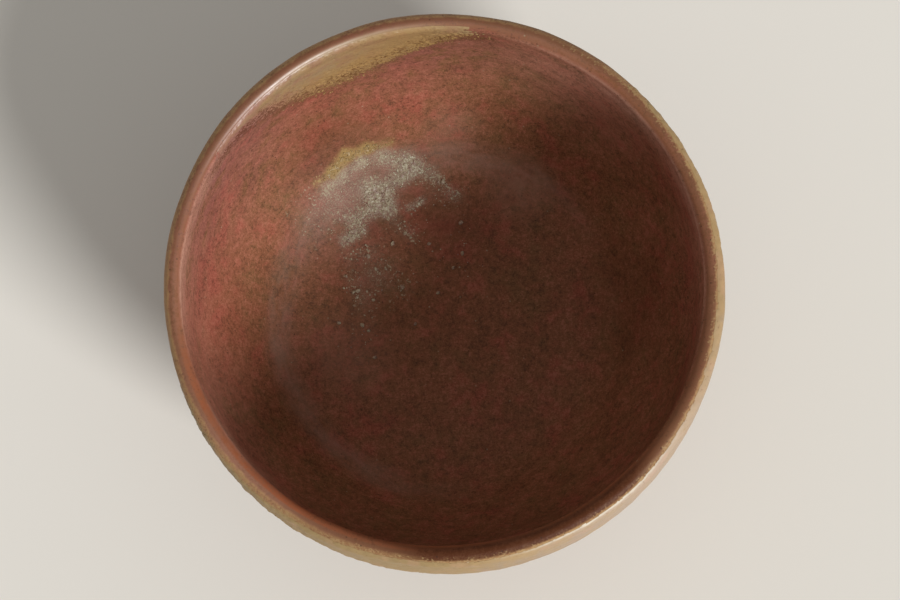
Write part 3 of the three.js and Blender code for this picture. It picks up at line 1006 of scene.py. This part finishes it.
# Painted shade among these: the spot at azimuth 94 darkens the floor at the edge of the lip's shadow, and
# those at 272 and 335 darken the inside of the wall turned from the sun
SCORCHES_AND_PAINTED_SHADE = [
    (124, 49, 33, 22, 0.42), (118, 36, 18, 20, 0.3), (94, 28, 16, 16, 0.45), (150, 24, 16, 13, 0.3),
    (4, 48, 27, 26, 0.3), (272, 60, 60, 52, 0.42), (335, 60, 60, 44, 0.1),
]
# The spot at azimuth 218 is painted light, on the wall where the sun's light ends
PALES_AND_PAINTED_LIGHT = [
    (22, 60, 74, 22, 0.7), (42, 60, 74, 24, 0.9), (98, 60, 68, 20, 0.4), (158, 60, 72, 22, 0.7),
    (174, 60, 72, 27, 0.8), (218, 60, 70, 24, 0.95),
]

# Floor and wall under a haze of ash too thin to see as grains, where the spots at azimuths 62, 88 and 222
# are painted light at the edge of the sun's light and shadow; and the far side of the well, turned from the
# sun, which has neither the ash film nor the painted sheen along its turn
HAZES_AND_PAINTED_LIGHT = [
    (196, 27, 16, 17, 0.2), (188, 60, 64, 34, 0.14), (222, 60, 66, 24, 0.5), (58, 60, 62, 34, 0.2),
    (62, 40, 20, 13, 0.36), (88, 50, 26, 12, 0.22), (203, 60, 52, 30, 0.16),
]
FAR_SIDE = [(335, 46, 24, 92, 1.0)]

# Stretches of the lip: scorched, flushed red inside, pale and brown along the crest, and
# polished inside
LIP_SCORCH = [(290, 63, 78, 50, 1.0)]
LIP_RED = [
    (205, 61, 76, 24, 0.6), (235, 61, 76, 38, 0.85), (268, 61, 76, 36, 0.6), (306, 61, 76, 26, 0.5),
]
CREST_PALE = [(222, 63, 78, 40, 0.18)]
CREST_BROWN = [(60, 64, 77, 30, 0.6), (250, 64, 77, 30, 0.5), (322, 64, 77, 20, 0.5)]
LIP_POLISH = [(128, 62, 78, 92, 1.0)]

# The ash inside the lip: where it merges with the lip, where ochre dust lies beyond it, and
# its ochre and mauve ends
PATCH_TOP = [(112, 62, 77, 34, 1.0)]
OCHRE_SIDE = [(104, 60, 64, 30, 1.0)]
PATCH_OCHRE_END = [(98, 60, 70, 24, 0.7)]
PATCH_MAUVE_END = [(144, 60, 66, 30, 1.0)]

# The coat: its pale side, turned to the sun and paler partly by painted light, its olive ends, its bright,
# brown and grey stretches along the top, where the bright one is a painted highlight and the grey one is
# paler partly by painted light on the sunlit side, and the fine white line on its edge, a painted glint
COAT_LIT = [(310, 62, 50, 58, 1.0)]
COAT_ENDS = [(46, 65, 66, 30, 0.8), (-150, 65, 66, 36, 0.9)]
COAT_SHINE = [(312, 64, 75, 34, 0.9)]
COAT_BROWN = [(244, 64, 76, 30, 0.7), (262, 64, 73, 30, 0.9)]
COAT_GREY = [(320, 64, 66, 52, 0.6)]
COAT_GLINT_LINE = [(305, 64, 76, 32, 0.85)]


def inner_lip(r, from_crest):
    """1 along the rounded edge inside the lip, on the side where hands have polished it"""
    return r.times(r.strip(from_crest, 0, 0.6, 1.8, 3.4), r.between(r.patches(LIP_POLISH), 0.05, 0.3))


def clay_finish(colours):
    """The fired clay of the body: banded by the throwing, lighter or darker where the flame came and, in
    some spots, by painted light and painted shade, redder with a painted warm tint on the sunlit walls, with
    a painted sheen along the well's turn, mottled and speckled, and dusted with ash round the layers"""
    r = Recipe("fired_clay", colours.clay)
    from_crest = r.attribute("from_crest")
    rings = r.rings(from_crest)
    flush = r.patches(FLUSHES)
    bands = r.plus(r.swing(5, 0.8, 4, rings), r.swing(1.5, 0.5, 2, rings))
    value = r.plus(
        r.swing(0.35, 1.4), r.swing(0.8, 1.2), r.swing(2, 0.9), r.swing(9, 0.6, 3),
        r.times(bands, 0.35),
    )
    hue = r.plus(r.swing(0.7, 0.5), r.swing(4, 1.0), r.swing(16, 1.5, 3), r.times(bands, 0.3))
    r.lay(colours.flush, flush, r.plus(0.85, value))
    # Redder on the sunlit walls, partly a painted warm tint of the sunlight
    r.lay(colours.red_clay_and_warm_light, r.patches(REDS_AND_PAINTED_WARM_LIGHT))
    r.lay(colours.mauve_clay, r.patches(MAUVES), r.plus(0.8, r.swing(4, 1.6, 3)))
    r.lay(colours.red_clay_and_warm_light, r.between(hue, 0.0, 0.5), 0.5)
    r.lay(colours.olive_clay, r.between(hue, 0.0, -0.5), 0.55)
    r.lay(colours.speck, r.between(value, 0.02, -0.5), 0.5)
    r.lay(colours.flush, r.between(value, -0.02, 0.5), 0.45)

    # The turn of the well, apart from its far side: ash film and, where it faces the sun, partly a painted
    # sheen; and the stains and hazes on floor and wall, with painted shade and painted light among them
    well_film_and_sheen = r.times(r.plus(0.3, r.times(bands, 1.2)), r.without(r.between(r.patches(FAR_SIDE), 0.1, 0.7)))
    r.lay(colours.film_ash_and_sheen, r.strip(from_crest, 56, 62, 63, 70), well_film_and_sheen)
    # Darker spots: flame-darkened clay, and in three spots painted shade
    r.lay(colours.scorch_and_painted_shade, r.patches(SCORCHES_AND_PAINTED_SHADE))
    # Haze of ash, and in three spots painted light at the edge of the sun's light
    r.lay(colours.lip_pale, r.patches(HAZES_AND_PAINTED_LIGHT), r.plus(0.9, r.swing(3, 1.5, 3), bands))

    # The lip, from its outside over the crest to its inside; the olive outside the crest is made lighter to
    # paint in light bounced up onto it
    along = r.plus(r.times(from_crest, 1 / (12 * MM)), 0.5, r.swing(2.2, 0.09))
    lip = r.ramp(along, [
        (0.36, colours.lip_olive_and_bounce_light), (0.42, colours.lip_olive_and_bounce_light), (0.47, colours.lip_brown),
        (0.53, colours.lip_brown), (0.59, colours.clay), (0.67, colours.clay),
        (0.75, colours.lip_pale), (0.84, colours.flush), (0.95, colours.flush),
    ])
    outer_side = r.without(r.between(from_crest, 1.5 * MM, 2.5 * MM))
    shown = r.either(outer_side, r.times(flush, 0.8))
    r.lay(lip, r.strip(from_crest, -6, -3, 3.5, 6), shown, r.plus(0.75, value))
    pale = r.plus(0.6, r.times(value, 0.7), bands)
    # Pale stretches inside the lip; the one at azimuth 218 is painted light
    r.lay(colours.lip_pale, r.strip(from_crest, 1.6, 3, 8, 16), r.patches(PALES_AND_PAINTED_LIGHT), pale)
    r.lay(colours.orange_clay, r.strip(from_crest, 0, 0.8, 2.2, 5), r.patches(LIP_RED), r.plus(1.0, value))
    r.lay(colours.lip_brown, r.strip(from_crest, -3, -1.8, -0.2, 0.6), r.patches(CREST_BROWN))
    r.lay(colours.lip_pale, r.strip(from_crest, -1.3, -0.6, 0.1, 0.7), r.patches(CREST_PALE))
    scorched = r.times(r.strip(from_crest, -2.2, -1.2, 0.8, 3), r.between(r.patches(LIP_SCORCH), 0.1, 0.6))
    r.lay(colours.scorch_and_painted_shade, scorched, r.plus(0.95, r.times(value, 0.6)))

    # Specks of iron and ash, the film and loose dust round the beds, and dust by the coat
    dark_specks = r.specks(1.7, 0.16, 0.35)
    r.lay(colours.speck, dark_specks, 0.55)
    r.lay(colours.grey_ash, r.specks(3.1, 0.09, 0.3), 0.4)
    fine = r.plus(r.noise(0.6), r.swing(2.6, 0.5))
    for name, film, ash in (
        ("grey_dust", colours.film_ash_and_sheen, colours.grey_ash),
        ("yellow_dust", colours.yellow_ash, colours.yellow_ash),
    ):
        thick = r.attribute(name)
        r.lay(film, r.between(thick, 0.05, 1.1), r.plus(0.75, r.swing(2, 1.2)))
        loose = r.between(r.plus(fine, r.times(thick, 0.17)), 0.68, 0.78)
        r.lay(ash, loose, r.between(thick, 0.02, 0.2), 0.7)
        mist = r.between(r.plus(r.noise(0.32, 2, 0.6), r.times(thick, 0.16)), 0.56, 0.74)
        r.lay(ash, mist, r.between(thick, 0.08, 0.5), 0.45)
    patch_hold = r.attribute("patch_hold")
    patch_edge = r.plus(patch_hold, r.swing(0.5, 5.0, 3), r.swing(3, 1.6))
    below_lip = r.between(from_crest, 4 * MM, 8 * MM)
    r.lay(colours.scorch_and_painted_shade, r.between(patch_edge, -2.0, -1.2), below_lip, 0.5)
    r.lay(colours.ochre_ash, r.between(patch_edge, -1.2, -0.5), below_lip, r.patches(OCHRE_SIDE))
    merging = r.times(r.between(from_crest, 0.2 * MM, 1.2 * MM), r.patches(PATCH_TOP))
    r.lay(colours.tan_ash, merging, r.between(patch_hold, -3.5, 0.5))
    coat_hold = r.attribute("coat_hold")
    dusted = r.between(r.plus(fine, r.times(coat_hold, 0.09), r.swing(5, 0.16, 3)), 0.36, 0.56)
    r.lay(colours.khaki_ash, dusted, r.between(coat_hold, -3.9, -2.6), 0.6)

    polished = inner_lip(r, from_crest)
    on_crest = r.strip(from_crest, -1.5, 0.4, 2.5, 5)
    height = r.plus(r.times(r.noise(1.4, 3, 0.6, rings), 0.5), value, r.times(dark_specks, -0.4))
    height = r.times(height, r.without(r.either(r.times(on_crest, 0.85), polished)))
    roughness = r.plus(0.52, r.swing(2.2, 0.2, 3), r.times(polished, -0.17))
    return r.finish(roughness, r.plus(0.14, r.times(polished, 0.36)), height, 0.07 * MM)


def foot_finish(colours):
    """The bare clay of the foot: dry, in soft patches, with a coarse grain and pale stones"""
    r = Recipe("foot_clay", colours.clay)
    patches = r.noise(9, 4)
    r.lay(colours.foot_clay, r.between(patches, 0.35, 0.7))
    grain = r.noise(0.5, 3, 0.7)
    r.lay(colours.speck, r.between(grain, 0.55, 0.3), 0.45)
    stones = r.specks(2.2, 0.2, 0.25)
    r.lay(colours.grey_ash, stones, 0.6)
    height = r.plus(grain, r.times(stones, 0.7), r.times(patches, 0.8))
    return r.finish(r.plus(0.72, r.swing(4, 0.2)), 0.2, height, 0.18 * MM)


def crust_finish(colours):
    """The coat of ash outside: pale where it is thick and along its top edge, and on the side turned to the
    sun partly by painted light, with a painted highlight and a painted glint along the top edge there; khaki
    where it is thin, olive at its ends, and clay where it is worn through"""
    r = Recipe("pale_ash", colours.khaki_ash)
    thick = r.attribute("thick")
    from_crest = r.attribute("from_crest")
    drawn_down = r.vector("MULTIPLY", r.place, DRAWN_DOWN)
    streaks = r.plus(r.swing(3.5, 1.4, 3, drawn_down), r.swing(9, 0.8, 3))
    # Paler where thick and streaked, and on the side turned to the sun partly by painted light
    pale = r.plus(r.times(thick, 0.35), r.times(r.patches(COAT_LIT), 0.7), streaks)
    r.lay(colours.pale_ash, r.between(pale, 0.2, 1.1))
    r.lay(colours.olive_ash, r.patches(COAT_ENDS), r.plus(0.7, r.swing(3, 0.8, 3)))
    ambered = r.between(r.plus(streaks, r.swing(2, 0.6)), -0.1, 0.6)
    r.lay(colours.olive_ash, ambered, r.between(from_crest, -16 * MM, -30 * MM), 0.6)
    worn = r.between(r.plus(thick, r.swing(1.0, 0.9, 3), r.swing(4, 0.4)), 0.5, 0.05)
    bare = r.mix(r.between(r.noise(3, 3), 0.4, 0.6), colours.clay, colours.red_clay_and_warm_light)
    r.lay(bare, worn, r.between(from_crest, -7 * MM, -13 * MM), 0.85)
    edge = r.between(r.plus(r.times(from_crest, 1 / MM), r.swing(1.5, 1.2)), -4.2, -3.0)
    # A painted highlight along the top edge, where it faces the sun
    r.lay(colours.edge_ash_and_highlight, edge, r.patches(COAT_SHINE))
    r.lay(colours.olive_ash, r.either(edge, 0.6), r.patches(COAT_BROWN))
    # A paler grey on the sunlit side, partly painted light
    r.lay(colours.edge_ash_and_highlight, r.patches(COAT_GREY))
    r.lay(colours.khaki_ash, r.between(r.noise(1.6, 4, 0.65), 0.52, 0.72), 0.4)
    r.lay(colours.lip_pale, r.between(r.noise(6, 3), 0.52, 0.68), 0.2)
    pits = r.between(r.noise(0.7, 3, 0.65), 0.40, 0.28)
    r.lay(colours.lip_brown, pits, 0.45)
    chips = r.specks(1.9, 0.2, 0.3)
    r.lay(colours.edge_ash_and_highlight, chips, 0.5)
    # A fine white line along the coat's top edge on the side facing the sun: a painted glint
    line = r.times(r.between(r.attribute("hold"), 1.6, 0.5), r.patches(COAT_GLINT_LINE))
    r.lay(colours.white_ash_and_glint, line, r.plus(0.8, r.swing(1.4, 0.8)))
    height = r.plus(r.times(r.noise(0.9, 4, 0.65), 0.6), r.times(pits, -0.5), r.times(chips, 0.4))
    return r.finish(r.plus(0.6, r.swing(2, 0.25)), 0.22, height, 0.08 * MM)


def tan_finish(colours):
    """The ash inside the lip: smooth and tan, with ochre and brown grains towards its edge"""
    r = Recipe("tan_ash", colours.tan_ash)
    hold = r.attribute("patch_hold")
    from_crest = r.attribute("from_crest")
    clouds = r.between(r.plus(r.noise(6, 4), r.swing(1.6, 0.5, 3)), 0.35, 0.7)
    r.lay(colours.lip_olive_and_bounce_light, clouds, 0.5)
    r.lay(colours.mauve_clay, r.between(r.noise(4, 3), 0.45, 0.65), 0.35)
    r.lay(colours.ochre_ash, r.patches(PATCH_OCHRE_END))
    near_edge = r.between(r.plus(hold, r.swing(0.8, 4.0, 3)), 3.0, 0.0)
    near_edge = r.times(near_edge, r.between(from_crest, 4 * MM, 8 * MM))
    away = r.plus(r.times(from_crest, 1 / (10 * MM)), r.swing(1.6, 1.2, 3))
    r.lay(colours.ochre_ash, r.either(near_edge, r.between(away, 0.9, 2.0)), 0.75)
    fading = r.between(r.plus(hold, r.swing(1.2, 2.0)), 3.4, 0.5)
    r.lay(colours.mauve_clay, r.patches(PATCH_MAUVE_END), fading, 0.9)
    grain = r.plus(r.noise(0.75, 3, 0.7), r.swing(2.2, 0.4), r.times(near_edge, -0.09))
    grain = r.between(grain, 0.45, 0.34)
    r.lay(colours.scorch_and_painted_shade, grain, r.plus(0.25, r.times(near_edge, 0.45)))
    polished = inner_lip(r, from_crest)
    height = r.times(r.plus(r.noise(1.0, 3, 0.6), r.times(grain, -0.4)), r.without(polished))
    roughness = r.plus(0.45, r.swing(3, 0.15), r.times(polished, -0.08))
    return r.finish(roughness, r.plus(0.12, r.times(polished, 0.3)), height, 0.04 * MM)


def grain_finish(name, tone, dark, light):
    """Fused grains of ash, each lighter or darker than the next"""
    r = Recipe(name, dark)
    shade = r.plus(r.noise(0.45), r.swing(1.6, 1.1))
    r.lay(tone, r.between(shade, 0.3, 0.62))
    r.lay(light, r.between(shade, 0.62, 0.85), 0.6)
    return r.finish(r.plus(0.42, r.swing(1, 0.3)), 0.35, r.noise(0.25, 3, 0.6), 0.05 * MM)


def plain_finish(name, tone, roughness):
    """A plain pale surface for the stage, with the faintest unevenness"""
    r = Recipe(name, tone)
    r.lay([0.98 * channel for channel in tone], r.between(r.noise(300), 0.3, 0.7))
    return r.finish(roughness, 0.1, r.noise(20), 0.02 * MM)


# Operators

class TEA_BOWL_OT_throw_body(bpy.types.Operator):
    """Throws the body: draws its section, turns it round the axis and marks it by hand"""

    bl_idname = "tea_bowl.throw_body"
    bl_label = "Thrown body"

    def execute(self, context):
        sizes = context.scene.bowl_sizes
        points, from_crest = body_section(sizes)
        body = turn_section("bowl_body", points, sizes.turn_steps)
        mark_from_crest(body, points, from_crest)
        wander(body, "out_of_round", OUT_OF_ROUND, sizes.wobble)
        wander(body, "hand_marks", HAND_MARKS, sizes.hand_marks)
        smooth(body, SOFT_ANGLE)
        mesh = body.data
        mark(mesh, "coat_hold", coat_layer(sizes).hold_on(mesh))
        mark(mesh, "patch_hold", lip_patch_layer(sizes).hold_on(mesh))
        outside = values_of(mesh, "from_crest") < 0
        for name, swarms in (("grey_dust", GREY_SWARMS), ("yellow_dust", YELLOW_SWARMS)):
            mark(mesh, name, np.where(outside, 0, swarm_density(places_of(mesh), swarms)))
        settle(body, clay_finish(context.scene.bowl_colours), "thrown_body")
        return {"FINISHED"}


class TEA_BOWL_OT_turn_foot(bpy.types.Operator):
    """Turns the foot ring, with a worn edge round the face that it stands on"""

    bl_idname = "tea_bowl.turn_foot"
    bl_label = "Foot ring"

    def execute(self, context):
        sizes = context.scene.bowl_sizes
        outer = sizes.foot_diameter / 2
        section = foot_side(sizes, outer, 1) + foot_side(sizes, outer - sizes.foot_width, -1)[::-1]
        section.append(section[0].copy())
        foot = turn_section("bowl_foot", section, FOOT_TURN_STEPS)
        wander(foot, "foot_marks", *FOOT_MARKS)
        smooth(foot, FOOT_ANGLE)
        settle(foot, foot_finish(context.scene.bowl_colours), "foot_ring")
        return {"FINISHED"}


class TEA_BOWL_OT_press_lutes(bpy.types.Operator):
    """Presses a roll of soft clay into the corner on each side of the foot ring"""

    bl_idname = "tea_bowl.press_lutes"
    bl_label = "Lutes"

    def execute(self, context):
        sizes = context.scene.bowl_sizes
        clay = foot_finish(context.scene.bowl_colours)
        outer = sizes.foot_diameter / 2
        sides = (("foot_lute_outer", outer, 1), ("foot_lute_inner", outer - sizes.foot_width, -1))
        for node, wall, side in sides:
            lute = turn_section(f"{node}_clay", lute_section(sizes, wall, side), FOOT_TURN_STEPS)
            wander(lute, f"{node}_thumb", *THUMB_MARKS)
            smooth(lute, FOOT_ANGLE)
            settle(lute, clay, node)
        return {"FINISHED"}


class TEA_BOWL_OT_fire_coat(bpy.types.Operator):
    """Lays the crust of ash over the outside"""

    bl_idname = "tea_bowl.fire_coat"
    bl_label = "Outer ash coat"

    def execute(self, context):
        sizes = context.scene.bowl_sizes
        return fire_layer(
            context, "outer_ash_crust", coat_layer(sizes), sizes.coat_thickness,
            crust_finish, "pale_ash", "outer_ash_coat",
            cuts=1, break_size=1.4 * MM, breakup=1.7, lump_size=4 * MM, lumps=0.15, rise=3.4, runs=1.2,
        )


class TEA_BOWL_OT_fire_lip_patch(bpy.types.Operator):
    """Lays the tan ash inside the lip"""

    bl_idname = "tea_bowl.fire_lip_patch"
    bl_label = "Lip ash patch"

    def execute(self, context):
        sizes = context.scene.bowl_sizes
        return fire_layer(
            context, "lip_ash_tongue", lip_patch_layer(sizes), sizes.lip_patch_thickness,
            tan_finish, "tan_ash", "lip_ash_patch",
            cuts=3, break_size=0.75 * MM, breakup=4.2, lump_size=4 * MM, lumps=0.3, rise=2.0,
        )


class TEA_BOWL_OT_fire_well(bpy.types.Operator):
    """Lays the yellow patch and the grey drift in the well, each as a thin bed under grains"""

    bl_idname = "tea_bowl.fire_well"
    bl_label = "Ash in the well"

    def execute(self, context):
        sizes = context.scene.bowl_sizes
        colours = context.scene.bowl_colours
        body = find_piece("bowl_body")
        ground = ground_under(body)
        model = model_grain("small_grain", segments=7, rings=5)
        for name, layer, thickness, swarms, seed, slot, tones, node in (
            (
                "well_yellow_ash", well_patch_layer(sizes), sizes.well_patch_thickness, YELLOW_SWARMS, 5,
                "yellow_ash", (colours.yellow_ash, colours.olive_ash, colours.edge_ash_and_highlight), "well_ash_patch",
            ),
            (
                "well_grey_ash", drift_layer(sizes), sizes.drift_thickness, GREY_SWARMS, 8,
                "grey_ash", (colours.grey_ash, colours.film_ash_and_sheen, colours.white_ash_and_glint), "well_ash_drift",
            ),
        ):
            bed = lift_layer(
                body, name, layer, thickness,
                cuts=3, break_size=0.45 * MM, breakup=6.5, lump_size=0.6 * MM, lumps=0.5, swarms=swarms,
            )
            grains = drop_swarms(ground, model, swarms, seed)
            settle(join([bed, *grains], name), grain_finish(slot, *tones), node)
        bpy.data.objects.remove(model)
        return {"FINISHED"}


class TEA_BOWL_OT_drop_grains(bpy.types.Operator):
    """Drops the largest single grains of ash, each where its solid lies"""

    bl_idname = "tea_bowl.drop_grains"
    bl_label = "Single ash grains"

    def execute(self, context):
        colours = context.scene.bowl_colours
        ground = ground_under(find_piece("bowl_body"))
        model = model_grain("large_grain", segments=14, rings=10)
        finish = grain_finish("single_grain_ash", colours.grey_ash, colours.film_ash_and_sheen, colours.white_ash_and_glint)
        draw = np.random.default_rng(SINGLE_GRAIN_SEED)
        for number, node in enumerate(GRAIN_NODES, 1):
            low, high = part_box(node)
            place = (low + high) / 2
            diameter = (high.x - low.x) * draw.uniform(*SINGLE_GRAIN)
            turn = draw.uniform(0, math.tau)
            grain = drop_grain(ground, model, f"single_grain_{number:02d}", place, diameter, turn)
            settle(grain, finish, node)
        bpy.data.objects.remove(model)
        return {"FINISHED"}


class TEA_BOWL_OT_set_stage(bpy.types.Operator):
    """Sets the floor, the sun, the plain sky and the camera"""

    bl_idname = "tea_bowl.set_stage"
    bl_label = "Stage"

    def execute(self, context):
        scene = context.scene
        deselect_all()
        bpy.ops.mesh.primitive_plane_add(size=FLOOR_SIZE, location=(0, 0, 0))
        floor = made("stage_floor")
        floor.data.materials.append(plain_finish("stage_floor", scene.bowl_colours.floor, 0.8))

        across = SUN_DISTANCE * math.cos(SUN_ELEVATION)
        place = polar(SUN_AZIMUTH, across, SUN_DISTANCE * math.sin(SUN_ELEVATION))
        turn = place.to_track_quat("Z", "Y").to_euler()
        bpy.ops.object.light_add(type="SUN", location=place, rotation=turn)
        lamp = made("window_light")
        lamp.data.angle = SUN_WIDTH
        lamp.data.energy = SUN_STRENGTH

        world = scene.world or bpy.data.worlds.new("stage_world")
        scene.world = world
        world.use_nodes = True
        nodes = world.node_tree.nodes
        links = world.node_tree.links
        sky = nodes["Background"]
        sky.inputs["Color"].default_value = SKY_LIGHT
        sky.inputs["Strength"].default_value = SKY_STRENGTH
        seen = nodes.new("ShaderNodeBackground")
        seen.inputs["Color"].default_value = SKY_SEEN
        path = nodes.new("ShaderNodeLightPath")
        chooser = nodes.new("ShaderNodeMixShader")
        links.new(path.outputs["Is Camera Ray"], chooser.inputs["Fac"])
        links.new(sky.outputs[0], chooser.inputs[1])
        links.new(seen.outputs[0], chooser.inputs[2])
        links.new(chooser.outputs[0], nodes["World Output"].inputs["Surface"])

        bpy.ops.object.camera_add(location=CAMERA_PLACE, rotation=CAMERA_TILT)
        camera = made("photo_camera")
        camera.data.lens = CAMERA_LENS
        camera.data.sensor_width = CAMERA_SENSOR
        camera.data.clip_start = 10 * MM
        scene.camera = camera
        scene.view_settings.view_transform = "Standard"
        return {"FINISHED"}


OPERATORS = (
    TEA_BOWL_OT_throw_body, TEA_BOWL_OT_turn_foot, TEA_BOWL_OT_press_lutes, TEA_BOWL_OT_fire_coat,
    TEA_BOWL_OT_fire_lip_patch, TEA_BOWL_OT_fire_well, TEA_BOWL_OT_drop_grains, TEA_BOWL_OT_set_stage,
)


class TEA_BOWL_PT_panel(bpy.types.Panel):
    """Lists the steps that make the bowl, its sizes and its colours"""

    bl_idname = "TEA_BOWL_PT_panel"
    bl_label = "Tea bowl"
    bl_space_type = "VIEW_3D"
    bl_region_type = "UI"
    bl_category = "Tea bowl"

    def draw(self, context):
        steps = self.layout.column(align=True)
        for operator in OPERATORS:
            steps.operator(operator.bl_idname)
        for group in (context.scene.bowl_sizes, context.scene.bowl_colours):
            values = self.layout.column()
            for name in group.bl_rna.properties.keys():
                if name not in ("rna_type", "name"):
                    values.prop(group, name)


CLASSES = (BowlSizes, BowlColours, *OPERATORS, TEA_BOWL_PT_panel)


def register():
    """Registers the classes, and gives the scene its sizes and colours"""
    for each in CLASSES:
        bpy.utils.register_class(each)
    bpy.types.Scene.bowl_sizes = PointerProperty(type=BowlSizes)
    bpy.types.Scene.bowl_colours = PointerProperty(type=BowlColours)


def unregister():
    """Takes back what register gave"""
    del bpy.types.Scene.bowl_colours
    del bpy.types.Scene.bowl_sizes
    for each in reversed(CLASSES):
        bpy.utils.unregister_class(each)


def main():
    """Makes the bowl step by step"""
    register()
    bpy.ops.tea_bowl.throw_body()
    bpy.ops.tea_bowl.turn_foot()
    bpy.ops.tea_bowl.press_lutes()
    bpy.ops.tea_bowl.fire_coat()
    bpy.ops.tea_bowl.fire_lip_patch()
    bpy.ops.tea_bowl.fire_well()
    bpy.ops.tea_bowl.drop_grains()
    bpy.ops.tea_bowl.set_stage()
    deselect_all()


if __name__ == "__main__":
    main()
